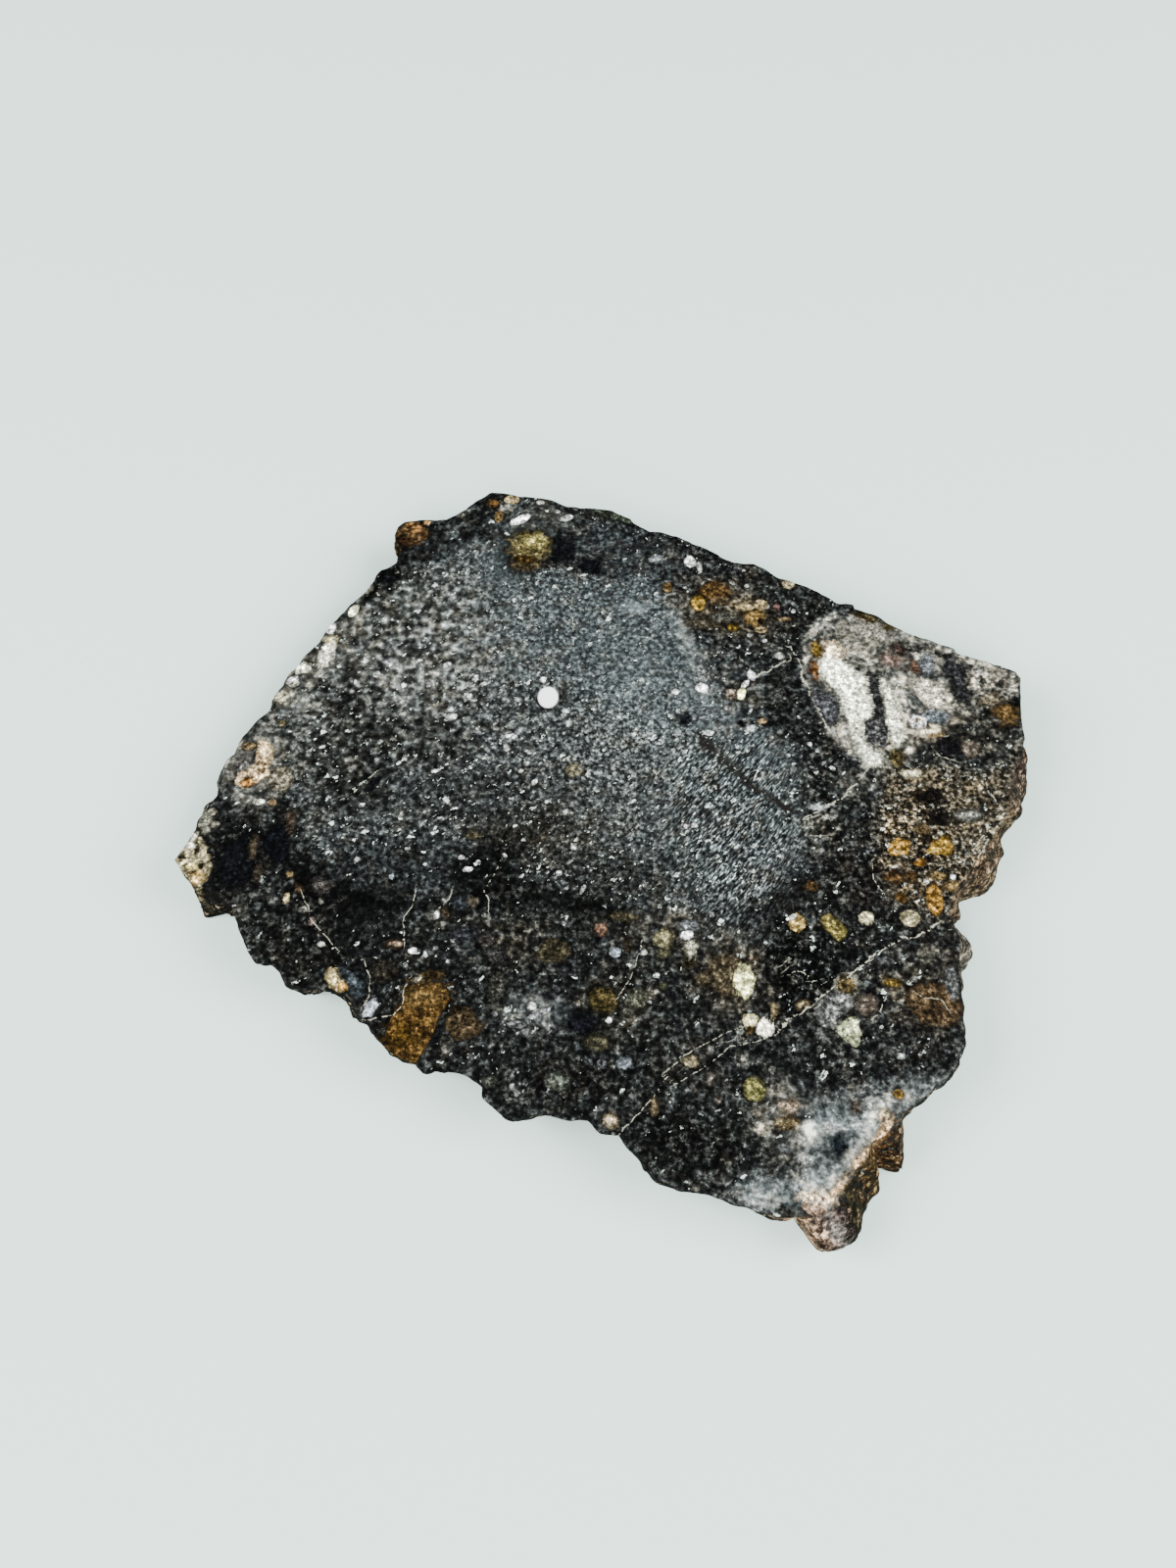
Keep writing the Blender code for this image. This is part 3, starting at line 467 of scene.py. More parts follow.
# Small marks over the fragments: colour, centre, size, turn
marks = [
    ("#e8e8e4", -4.4, 19.25, 1.5, 0.6, 30), ("#b8b070", -3.4, 17.5, 1.7, 1.3, 0, 0.5),
    ("#4a3818", -4.0, 16.1, 1.3, 0.6, 0), ("#c8ccc8", -1.4, 19.4, 0.9, 0.5, 20),
    ("#d0d0cc", -2.0, 19.9, 0.35, 0.3, 0), ("#c0c0b8", -3.1, 20.7, 0.5, 0.4, 0),
    ("#c4b890", -5.0, 20.9, 1.0, 0.7, 0), ("#8a7448", -5.8, 19.5, 0.6, 0.9, 0),
    ("#b08850", -11.1, 18.5, 0.7, 0.8, 0, 0.3), ("#2c1c10", -11.9, 17.5, 0.8, 0.8, 0, 0.3),
    ("#d8c088", -10.4, 19.0, 0.5, 0.3, 0), ("#c8a868", -11.6, 18.9, 0.6, 0.25, 20),
    ("#d8dad6", 6.5, 15.9, 0.7, 0.9, 0), ("#c8cac6", 7.1, 15.5, 0.3, 0.9, 0),
    ("#8a7448", 5.0, 13.9, 0.6, 0.8, 0), ("#a88c3c", 6.9, 12.7, 0.9, 1.2, 0),
    ("#9a9a90", 9.25, 14.1, 1.1, 0.3, -49), ("#c4b890", 9.8, 12.4, 1.2, 0.5, 0),
    ("#b5a880", 10.8, 12.6, 0.9, 0.8, 0), ("#120e0a", 10.7, 11.3, 0.45, 0.45, 0),
    ("#7a6428", 9.0, 10.9, 0.8, 0.6, 0), ("#c8bc98", 10.7, 10.7, 0.8, 0.4, 0),
    ("#9a7a70", 11.8, 12.4, 0.4, 0.6, 0), ("#a08c68", 12.2, 11.5, 0.9, 0.3, 0),
    ("#e4e6e4", 6.9, 6.5, 0.8, 0.6, 0), ("#dcdedc", 5.3, 6.2, 0.5, 0.35, 0),
    ("#d0d4d2", 7.0, 3.4, 0.9, 0.4, 0), ("#a8acaa", 7.8, 3.4, 0.35, 0.3, 0),
    ("#b0b4b2", 6.35, 4.4, 0.25, 0.6, 0), ("#f0e8c0", 9.25, 6.1, 0.5, 0.85, -10),
    ("#e8e8e0", 9.5, 6.75, 0.7, 0.25, 50), ("#f0f2f0", 9.95, 7.4, 0.45, 0.7, 20),
    ("#a0a09a", 8.5, 5.1, 0.7, 0.5, 0), ("#0e0f12", 9.2, 4.0, 0.5, 0.5, 0),
    ("#c0c6c4", 9.7, 3.7, 0.7, 0.5, 0), ("#b8a47c", 10.4, 4.2, 0.6, 0.4, 0),
    ("#c8cac4", 11.7, 8.8, 0.6, 0.5, 0), ("#a08438", 14.0, 9.3, 0.6, 1.1, 0, 0.4),
    ("#e8e8e2", 19.65, 4.2, 0.95, 0.8, 0, 0.3), ("#98884e", 19.7, 4.25, 0.45, 0.35, 0),
    ("#a8946c", 20.4, 3.2, 0.6, 0.4, 0), ("#a8946c", 20.95, 3.3, 0.5, 0.4, 0),
    ("#a0742c", 18.7, -4.95, 0.7, 0.5, 0), ("#7a5c2c", 17.4, -7.1, 0.6, 0.6, 0),
    ("#e8e8e0", 20.45, -5.85, 0.3, 0.3, 0), ("#e8e8e0", 18.9, -6.1, 0.3, 0.3, 0),
    ("#e8e8de", 11.2, -8.25, 0.6, 0.25, 30), ("#5c5030", 13.9, -12.1, 1.05, 1.05, 0),
    ("#8c8c84", 17.6, -11.8, 0.4, 0.4, 0), ("#c8ccc8", 16.4, -16.0, 0.4, 0.35, 0),
    ("#4c4e4c", 16.0, -15.7, 0.8, 0.6, 0), ("#5a4424", 8.6, -14.6, 0.5, 0.45, 0),
    ("#8c8c84", 9.6, -16.7, 0.4, 0.4, 0), ("#70706a", 9.6, -17.5, 0.4, 0.4, 0),
    ("#54504a", 6.7, -18.3, 0.5, 0.5, 0), ("#dcd2c0", 11.4, -23.1, 2.0, 0.6, -8, 0.5),
    ("#dccbac", 12.6, -22.6, 1.6, 0.35, 46, 0.4), ("#dccbac", 13.8, -21.3, 1.8, 0.35, 47, 0.4),
    ("#dccbac", 15.0, -20.0, 1.8, 0.35, 50, 0.4), ("#2a3238", 12.7, -20.6, 0.9, 1.2, 0, 0.6),
    ("#8a7034", 16.05, -18.0, 0.7, 0.6, 0), ("#6a6258", 13.8, -18.6, 0.7, 0.9, 0, 0.4),
    ("#c8bea4", 15.2, -19.0, 0.7, 0.5, 0), ("#d8c8b6", 11.3, -23.6, 1.0, 0.5, 0, 0.4),
    ("#e0e2e0", -3.0, -13.3, 0.45, 0.4, 0), ("#b0b4b4", -2.6, -13.7, 1.4, 0.35, 25),
    ("#8a8e8c", -3.8, -14.3, 1.0, 0.4, 0), ("#e0e2e0", 1.1, -14.05, 0.35, 0.35, 0),
    ("#8c9094", 0.7, -16.4, 0.5, 0.5, 0), ("#0e0f12", 0.7, -16.4, 0.25, 0.25, 0),
    ("#c8ccc8", -3.9, -17.6, 0.3, 0.25, 0), ("#c8ccc8", -3.7, -17.95, 0.25, 0.25, 0),
    ("#b8c0c4", 1.5, -10.3, 0.6, 0.55, 0), ("#c8ccc8", 3.05, -10.3, 0.35, 0.35, 0),
    ("#dcdedc", 3.7, -11.6, 0.3, 0.25, 0), ("#e8ecec", 5.4, -9.3, 0.8, 0.5, 0),
    ("#8c9090", -1.7, -12.3, 0.6, 0.2, -35), ("#a8aaa8", -4.95, -13.7, 0.3, 0.3, 0),
    ("#e4e6e2", -8.35, -8.15, 0.25, 0.5, 0), ("#8a8878", -9.2, -11.8, 0.7, 0.3, 20),
    ("#e4e6e4", -9.55, -10.2, 0.5, 0.4, 0), ("#d8dad8", -8.85, -10.4, 0.2, 0.35, 20),
    ("#a8aaa8", -8.35, -10.05, 0.3, 0.2, 0), ("#d0d2d0", -7.6, -10.8, 0.25, 0.22, 0),
    ("#c8cac8", -7.4, -9.6, 0.25, 0.2, 0), ("#c8cac4", -2.8, -10.1, 0.25, 0.25, 0),
    ("#8a7850", -16.7, -5.7, 0.45, 0.4, 0), ("#b4a880", -16.75, -7.1, 0.4, 0.7, 0),
    ("#b4a49a", -15.2, -8.5, 0.35, 0.5, 10), ("#d0d0c8", -14.6, -9.8, 0.4, 0.3, 0),
    ("#a08c74", -10.5, -9.8, 0.8, 0.3, 0), ("#a8a89c", -14.8, -7.3, 0.3, 0.3, 0),
    ("#5e4618", -9.9, -14.9, 1.2, 1.6, -20, 1.5), ("#8a7040", -8.7, -12.7, 1.7, 1.0, 0, 1.5),
    ("#c9a850", -13.2, -12.2, 0.6, 0.4, -30), ("#c09850", -19.8, 0.1, 0.8, 0.5, 0),
    ("#a8946c", -19.1, 1.2, 0.5, 0.6, 0), ("#a8946c", -20.0, 2.5, 0.8, 0.5, 0),
    ("#8a8a84", -21.2, 0.7, 0.6, 0.6, 0), ("#a8946c", -18.2, -1.2, 0.5, 0.4, 0),
    ("#dcdcd4", -18.95, -1.15, 0.7, 0.4, 0), ("#463e30", -18.95, -4.0, 0.5, 1.6, 0, 0.3),
    ("#4a4236", -18.5, -5.6, 0.45, 1.2, 0, 0.3), ("#5a4428", -22.2, -5.6, 0.5, 0.3, 0),
    ("#d8d8d0", -22.5, -3.3, 0.6, 0.5, 0), ("#3a3424", -22.9, -4.7, 0.4, 0.3, 0),
    ("#2c2820", -22.1, -4.2, 0.3, 0.5, 0), ("#eceada", -22.6, -3.9, 0.5, 0.4, 0),
    ("#e0d09a", -21.9, -5.9, 0.6, 0.9, -30, 0.3), ("#ece0b0", -22.3, -5.2, 0.5, 0.4, 0),
    ("#2a241a", -21.8, -5.2, 0.25, 0.4, 0), ("#4a463c", -22.2, -3.0, 0.4, 0.3, 0),
    ("#b8b4a4", -21.6, -1.8, 0.5, 0.5, 0), ("#8a8878", -21.3, -2.6, 0.5, 0.5, 0),
    ("#dedece", -14.65, 12.1, 0.55, 1.0, -25), ("#c0c0b4", -17.8, 6.8, 0.6, 0.5, 0),
    ("#a8a89e", -12.1, 15.1, 0.25, 0.25, 0), ("#d8dad8", -12.1, 8.15, 0.35, 0.35, 0),
    ("#dcdedc", -12.85, 7.5, 0.4, 0.45, 0), ("#d8dad8", -8.6, 8.1, 0.55, 0.4, 45),
    ("#dcdedc", -6.8, 7.2, 0.3, 0.5, 0), ("#e4e6e4", -11.15, 6.7, 0.35, 0.35, 0),
    ("#b8bab8", -9.65, 6.7, 0.35, 0.4, 0), ("#c8cac8", -6.3, 6.8, 0.45, 0.3, 20),
    ("#c8ccca", -5.2, 6.4, 0.22, 0.85, -28), ("#dcdedc", -2.7, 7.1, 0.4, 0.35, 0),
    ("#dcdedc", -4.2, 5.7, 0.3, 0.35, 0), ("#d0d2d0", -8.1, 4.5, 0.7, 0.4, 10),
    ("#a8aaa8", -8.8, 4.65, 0.4, 0.35, 0), ("#dcdedc", -4.8, 3.2, 0.32, 0.3, 0),
    ("#dcdedc", -4.35, 3.15, 0.3, 0.3, 0), ("#c8cac8", -4.8, 2.4, 0.35, 0.55, 20),
    ("#c0c2c0", -3.4, 2.1, 0.7, 0.3, -20), ("#dcdedc", -3.6, 1.4, 0.35, 0.3, 0),
    ("#e0e2e0", -10.8, 1.65, 0.3, 0.28, 0), ("#dcdedc", -5.85, 1.7, 0.32, 0.25, -20),
    ("#e4e6e4", -6.9, 1.1, 0.28, 0.28, 0), ("#d8dad8", -8.95, 0.85, 0.4, 0.25, 0),
    ("#dcdedc", -3.9, 0.85, 0.28, 0.25, 0), ("#dcdedc", -3.1, 0.15, 0.25, 0.4, -30),
    ("#d8dad8", -12.25, 2.8, 0.28, 0.35, 0), ("#d0d2d0", -13.0, -1.35, 0.4, 0.25, 0),
    ("#d8dad8", -8.1, -1.1, 0.28, 0.28, 0), ("#e4e6e4", -7.15, -4.65, 0.3, 0.22, 0),
    ("#e4e6e4", -6.75, -5.35, 0.5, 0.3, 0), ("#dcdedc", -4.7, -4.5, 0.22, 0.22, 0),
    ("#dce4e8", -11.0, -5.8, 0.22, 0.3, 0), ("#dcdedc", -10.25, -4.1, 0.35, 0.22, 30),
    ("#dcdedc", -13.0, -4.75, 0.25, 0.28, 0), ("#d8dad8", -8.4, -2.2, 0.32, 0.2, 0),
    ("#dcdedc", -1.3, -1.8, 0.18, 0.4, -30), ("#dcdedc", -2.3, -1.1, 0.15, 0.4, -50),
    ("#d8dad8", -1.6, -5.6, 0.3, 0.28, 0), ("#d8dad8", -0.8, -4.0, 0.3, 0.4, 0),
    ("#c8cac8", -0.3, -6.6, 0.22, 0.5, -20), ("#e0e2e0", 5.6, -2.7, 0.28, 0.28, 0),
    ("#e4e6e4", 6.1, -2.65, 0.32, 0.28, 0), ("#dcdedc", 6.85, -8.1, 0.28, 0.25, 0),
    ("#e0e2e0", 13.1, 2.65, 0.25, 0.22, 0), ("#c8ccc8", 13.5, 2.2, 0.28, 0.35, 0),
    ("#e0e2e0", 12.55, 4.5, 0.18, 0.18, 0), ("#dcdedc", 12.9, 1.4, 0.16, 0.18, 0),
    ("#e4e6e4", 13.1, 1.1, 0.18, 0.18, 0), ("#dcdedc", 10.0, 14.0, 0.25, 0.22, 0),
    ("#dcdedc", 6.1, 13.9, 0.22, 0.22, 0), ("#dcdedc", 9.95, 10.3, 0.22, 0.22, 0),
    ("#dcdedc", 12.8, 12.1, 0.22, 0.22, 0), ("#dcdedc", 10.9, 9.9, 0.22, 0.22, 0),
    ("#dcdedc", 9.9, 15.2, 0.22, 0.22, 0),
]

# Light veins and dark cracks: width and course
veins = [
    (0.13, [(10, -14.7), (10.6, -14.1), (11.7, -13.4), (13.2, -12.2), (14.5, -11.3), (15.8, -10.3),
            (17, -9.6), (18.4, -9.2), (19.2, -8.6)]),
    (0.055, [(4, -16.9), (5, -16), (6, -15.4), (7, -14.9), (8, -14.5)]),
    (0.055, [(4.5, -17.5), (6, -16.6), (7.5, -15.5), (9, -15.2)]),
    (0.055, [(3, -9.6), (2.6, -10.8), (2.3, -11.8), (1.6, -12.8)]),
    (0.055, [(1.6, -20), (2.6, -19), (3.3, -18.2), (4.2, -17)]),
    (0.05, [(-2, 14), (-1.2, 13), (-0.9, 11), (-0.9, 9.5)]),
    (0.12, [(12.4, 9.6), (12.9, 8.2), (13.1, 6.8), (13.6, 5.4), (14.2, 3.9)]),
    (0.12, [(10.3, 7.3), (11, 7.7), (12.3, 8.5)]),
    (0.055, [(9.4, 8.5), (9.7, 7.9)]),
    (0.055, [(20.6, 1.9), (21.6, 1.5)]),
    (0.065, [(23.1, 0.4), (23.2, -0.5), (23.8, -1.6)]),
    (0.05, [(16.6, -4.5), (16, -4.8), (16, -6), (16.4, -6.8)]),
    (0.055, [(15.9, -12.9), (15.5, -13.7), (15.1, -13.9)]),
    (0.055, [(-12.1, -10.9), (-11.8, -11.6), (-11.7, -12.6), (-12, -13.3)]),
    (0.065, [(-9.7, -11.9), (-9.95, -12.5), (-9.9, -13.2), (-10.4, -13.8), (-11.8, -14.05)]),
    (0.055, [(-15.9, -6.9), (-15.5, -7.7), (-15.2, -8.5), (-14.2, -9.5), (-13.7, -10.1)]),
    (0.055, [(-5, -5), (-5.4, -6), (-5.8, -6.6), (-5.5, -7.3), (-5.5, -7.9)]),
    (0.055, [(-9.6, -6.7), (-9.7, -7.6), (-10.2, -8.2), (-10.1, -9), (-10, -9.8)]),
    (0.055, [(-8.4, -7.9), (-7.7, -7.2), (-7.6, -6.8)]),
    (0.045, [(12.1, -2.4), (12.6, -2.2), (13.3, -2)]),
    (0.045, [(12.3, -3.3), (13.4, -3.3)]),
    (0.065, [(10.9, -11.5), (11.4, -11.3), (11.8, -11.5)]),
    (0.065, [(12, -11.9), (12.5, -11.8)]),
    (0.045, [(17.6, -12.6), (18.1, -12.9), (18.9, -12.9), (19.2, -13.5)]),
    (0.065, [(16.9, -3.9), (18.4, -4.9), (19.3, -4.4), (20.4, -3.9)]),
    (0.10, [(21.2, -5.9), (22.0, -4.6), (22.9, -3.4), (23.7, -2.2)]),
    (0.08, [(21.8, -4.2), (22.6, -3.2), (23.6, -1.9)]),
    (0.10, [(15.6, 0.1), (14.7, -0.9), (13.4, -1.6), (12.3, -2.3), (11.9, -2.5)]),
    (0.055, [(16.9, 1.9), (16.2, 0.8), (15.6, 0.1)]),
    (0.05, [(10.5, -11), (10.9, -10.7)]),
    (0.10, [(-13.6, -0.5), (-13.2, 0), (-12.4, 0.7)]),
]
cracks = [
    (0.80, [(6.5, 3.3), (7.1, 2.4)]),
    (0.50, [(7.1, 2.4), (8.1, 1.3), (8.6, 0.8)]),
    (0.45, [(8.6, 0.8), (9.3, 0.1), (9.8, -0.4)]),
    (0.28, [(9.8, -0.4), (10.8, -1.1), (11.7, -1.8)]),
    (0.14, [(-9.8, -12.05), (-8.5, -11.95), (-7.9, -11.85)]),
    (0.12, [(4.7, -9.8), (5.2, -9.65), (5.9, -9.5)]),
    (0.11, [(11.3, -8.6), (11.9, -8.2)]),
]
bead = (-2.4, 5.85, 1.2, 1.45)   # centre and size of the metal bead, whose flat white is a painted highlight

# Colour of the broken rim by bearing about the centre
rimTints = [
    (2, "#7c685a"), (7, "#6a5648"), (11, "#54402c"), (18, "#6a5448"), (30, "#4c4a44"), (44, "#2e2c26"),
    (55, "#5a5444"), (66, "#26221a"), (85, "#2c2a20"), (100, "#3a3020"), (112, "#1c1a16"),
    (122, "#5a3e20"), (128, "#54401f"), (133, "#2c2c20"), (142, "#4e4a30"), (151, "#a09c84"),
    (162, "#a8a490"), (172, "#54544a"), (179, "#6a6a5c"), (182, "#9a9a8a"), (187, "#b4ac8c"),
    (191.3, "#c0ae8c"), (193.4, "#2c2018"), (200, "#1c1612"), (214, "#141414"), (240, "#101214"),
    (285, "#141414"), (289, "#2a2820"), (291, "#c4a888"), (293, "#ccb498"), (295.5, "#aca29a"),
    (297.5, "#4a4038"), (299, "#5a4e2c"), (301, "#4c3820"), (303.5, "#765c2c"), (306, "#744e26"),
    (308.5, "#7a6040"), (311, "#4e3a20"), (315, "#1e1a16"), (328, "#2a2a26"), (332, "#84806f"),
    (338, "#aca294"), (342, "#a08a70"), (347, "#8c765a"), (352, "#ac9272"), (356.6, "#8c7658"),
]


# Studio: how strong its light is on a level surface
studio = {"strength": 3.4}


def linear(shown):
    return np.where(shown <= 0.04045, shown / 12.92, ((shown + 0.055) / 1.055) ** 2.4)


def gain(light):
    # How much more light the picture needs for this one, as it flattens bright and lifts dark parts
    return 1 + 8.6 * light ** 4 + 0.012 / (light + 0.012)


def paint(code):
    # Paint that shows as this sRGB colour under the studio's light
    light = linear(np.array([int(code[i:i + 2], 16) / 255 for i in (1, 3, 5)]))
    together = light @ (0.2126, 0.7152, 0.0722)
    return np.minimum(light * np.sqrt(gain(light) * gain(together)) / studio["strength"], 0.95)


def ellipseDistance(x, y, centreX, centreY, width, height, turn=0.0):
    # Signed distance from the ellipse, to first order: k0 (k0 - 1) / k1
    c, s = cos(radians(turn)), sin(radians(turn))
    u = ((x - centreX) * c + (y - centreY) * s) / (width / 2)
    v = ((y - centreY) * c - (x - centreX) * s) / (height / 2)
    k0 = np.hypot(u, v)
    k1 = np.maximum(np.hypot(u / (width / 2), v / (height / 2)), 1e-6)
    return np.where(k0 < 1e-4, -min(width, height) / 2, k0 * (k0 - 1) / k1)


def courseDistance(x, y, course):
    # Distance from the nearest segment of the course, with the sign of the side
    best = np.full(len(x), 1e3)
    side = np.ones(len(x))
    for (ax, ay), (bx, by) in zip(course, course[1:]):
        dx, dy = bx - ax, by - ay
        t = np.clip(((x - ax) * dx + (y - ay) * dy) / (dx * dx + dy * dy), 0, 1)
        gap = np.hypot(x - ax - t * dx, y - ay - t * dy)
        nearer = gap < best
        best = np.where(nearer, gap, best)
        side = np.where(nearer, np.sign((x - ax) * dy - (y - ay) * dx + 1e-9), side)
    return best, side


def outlineDistance(x, y, corners):
    # Signed distance from the polygon: the nearest side, negative inside by the crossing rule
    best, _ = courseDistance(x, y, corners + corners[:1])
    inside = np.zeros(len(x), bool)
    for (ax, ay), (bx, by) in zip(corners, corners[1:] + corners[:1]):
        if ay != by:
            crossed = ((y < ay) != (y < by)) & (x < ax + (y - ay) * (bx - ax) / (by - ay))
            inside ^= crossed
    return np.where(inside, -best, best)


def layPieces(pieces):
    # Colour of the nearest piece, or of the last one that covers the point, and the distance from it
    # in units of the softness of its edge
    colour = np.zeros((len(pieces[0][1]), 3))
    edge = np.full(len(colour), 9.0)
    for tint, gap, soft in pieces:
        gap = np.clip(gap / soft, -3, 9)
        taken = (gap < 0) | (gap < edge)
        colour[taken] = tint
        edge = np.minimum(edge, gap)
    return colour, edge


def layLines(x, y, lines):
    # Distance across the nearest line, signed by its side, less than none inside the line's width,
    # and a fade that is 1 near a line and 0 beyond half a millimetre
    reach = np.full(len(x), 9.0)
    across = np.full(len(x), 9.0)
    for width, course in lines:
        gap, side = courseDistance(x, y, course)
        share = gap * 0.1 / width
        nearer = gap < reach
        reach = np.where(nearer, gap, reach)
        across = np.where(nearer, share * side, across)
    return across, np.clip((0.5 - reach) / 0.2, 0, 1)


def groundFields(x, y):
    # What the ground has at each point: areas laid over one another, then shades added
    field = np.tile([float(matrix[name]) for name in groundNames], (len(x), 1))
    for area in areas:
        gap = outlineDistance(x, y, area["outline"])
        share = np.clip(0.5 - gap / (2 * area["soft"]), 0, 1)
        share = (share * share * (3 - 2 * share))[:, None]
        field = field * (1 - share) + np.array([area[name] for name in groundNames]) * share
    for cx, cy, width, height, turn, *added in shades:
        c, s = cos(radians(turn)), sin(radians(turn))
        u = ((x - cx) * c + (y - cy) * s) / (width / 2)
        v = ((y - cy) * c - (x - cx) * s) / (height / 2)
        share = np.clip(1.35 - 0.75 * np.hypot(u, v), 0, 1)
        share = (share * share * (3 - 2 * share))[:, None]
        field[:, :len(added)] += np.array(added) * share
    light = linear(np.clip(field[:, 0], 10, 225) / 255)
    field[:, 0] = np.log(light * gain(light) / studio["strength"])
    field[:, 2:] = np.clip(field[:, 2:], 0, 1)
    return field


points, quads, fan = buildSlice(sliceShape)
print("slice worked out:", len(points), "points")

mesh = bpy.data.meshes.new("meteorite_slice_stone")
loops = np.concatenate([quads.ravel(), fan.ravel()])
starts = np.concatenate([np.arange(len(quads)) * 4, len(quads) * 4 + np.arange(len(fan)) * 3])
mesh.vertices.add(len(points))
placed = points + (sliceShape["shift"][0], sliceShape["shift"][1], 0.0)
mesh.vertices.foreach_set("co", (placed * mm).astype(np.float32).ravel())
mesh.loops.add(len(loops))
mesh.loops.foreach_set("vertex_index", loops.astype(np.int32))
mesh.polygons.add(len(starts))
mesh.polygons.foreach_set("loop_start", starts.astype(np.int32))
mesh.update(calc_edges=True)
mesh.validate()
stone = bpy.data.objects.new("meteorite_slice_stone", mesh)
bpy.context.scene.collection.objects.link(stone)
mesh.shade_smooth()
print("triangles:", len(quads) * 2 + len(fan))


def addAttribute(mesh, name, kind, values):
    # One value for each vertex: FLOAT, FLOAT_VECTOR or FLOAT_COLOR
    field = {"FLOAT": "value", "FLOAT_VECTOR": "vector", "FLOAT_COLOR": "color"}[kind]
    layer = mesh.attributes.new(name, kind, "POINT")
    if kind == "FLOAT_COLOR":
        values = np.column_stack([values, np.ones(len(values))])
    layer.data.foreach_set(field, np.asarray(values, np.float32).ravel())


def oval(code, centreX, centreY, width, height, turn, ownSoftness=None, softness=0.3):
    gap = ellipseDistance(x, y, centreX, centreY, width, height, turn)
    return paint(code), gap, ownSoftness or softness


x, y, z = points.T
depth = 1 - z / sliceShape["thickness"]
bearing = np.degrees(np.arctan2(y - sliceShape["centre"][1], x - sliceShape["centre"][0])) % 360
chipPieces = [oval(*chip, softness=0.3) for chip in chips]
chipPieces += [(paint(code), outlineDistance(x, y, corners), soft) for code, soft, corners in brokenChips]
markPieces = [oval(*mark, softness=0.15) for mark in marks]
chipColour, chipEdge = layPieces(chipPieces)
markColour, markEdge = layPieces(markPieces)
veinAcross, veinNear = layLines(x, y, veins)
crackAcross, crackNear = layLines(x, y, cracks)
ground = groundFields(x, y)
tintBearings = [at for at, code in rimTints]
tints = np.array([paint(code) for at, code in rimTints])
rimColour = np.column_stack([np.interp(bearing, tintBearings, tints[:, k], period=360) for k in range(3)])
backShare = np.clip((depth - 0.999) * 1e4, 0, 1)
chipEdge, markEdge = (np.where(backShare > 0, 9.0, edge) for edge in (chipEdge, markEdge))
veinNear, crackNear = veinNear * (1 - backShare), crackNear * (1 - backShare)
ground[:, 7] = np.maximum(ground[:, 7], backShare)

addAttribute(mesh, "chipColour", "FLOAT_COLOR", chipColour)
addAttribute(mesh, "markColour", "FLOAT_COLOR", markColour)
addAttribute(mesh, "rimColour", "FLOAT_COLOR", rimColour)
beadEdge = ellipseDistance(x, y, *bead)
addAttribute(mesh, "edges", "FLOAT_VECTOR", np.column_stack([chipEdge, markEdge, beadEdge]))
addAttribute(mesh, "veins", "FLOAT_VECTOR", np.column_stack([veinAcross, veinNear, depth]))
addAttribute(mesh, "cracks", "FLOAT_VECTOR", np.column_stack([crackAcross, crackNear, backShare]))
addAttribute(mesh, "ground", "FLOAT_VECTOR", ground[:, :3])
addAttribute(mesh, "crystals", "FLOAT_VECTOR", ground[:, 3:6])
addAttribute(mesh, "texture", "FLOAT_VECTOR", ground[:, 6:])
print("pattern laid out")


def addNode(tree, kind, inputs, output=0, **settings):
    # One node with its settings; an input is given a value or linked to a socket. Returns an output
    made = tree.nodes.new("ShaderNode" + kind)
    for name, value in settings.items():
        setattr(made, name, value)
    for key, value in inputs.items():
        if isinstance(value, bpy.types.NodeSocket):
            tree.links.new(value, made.inputs[key])
        else:
            made.inputs[key].default_value = value
    return made.outputs[output]


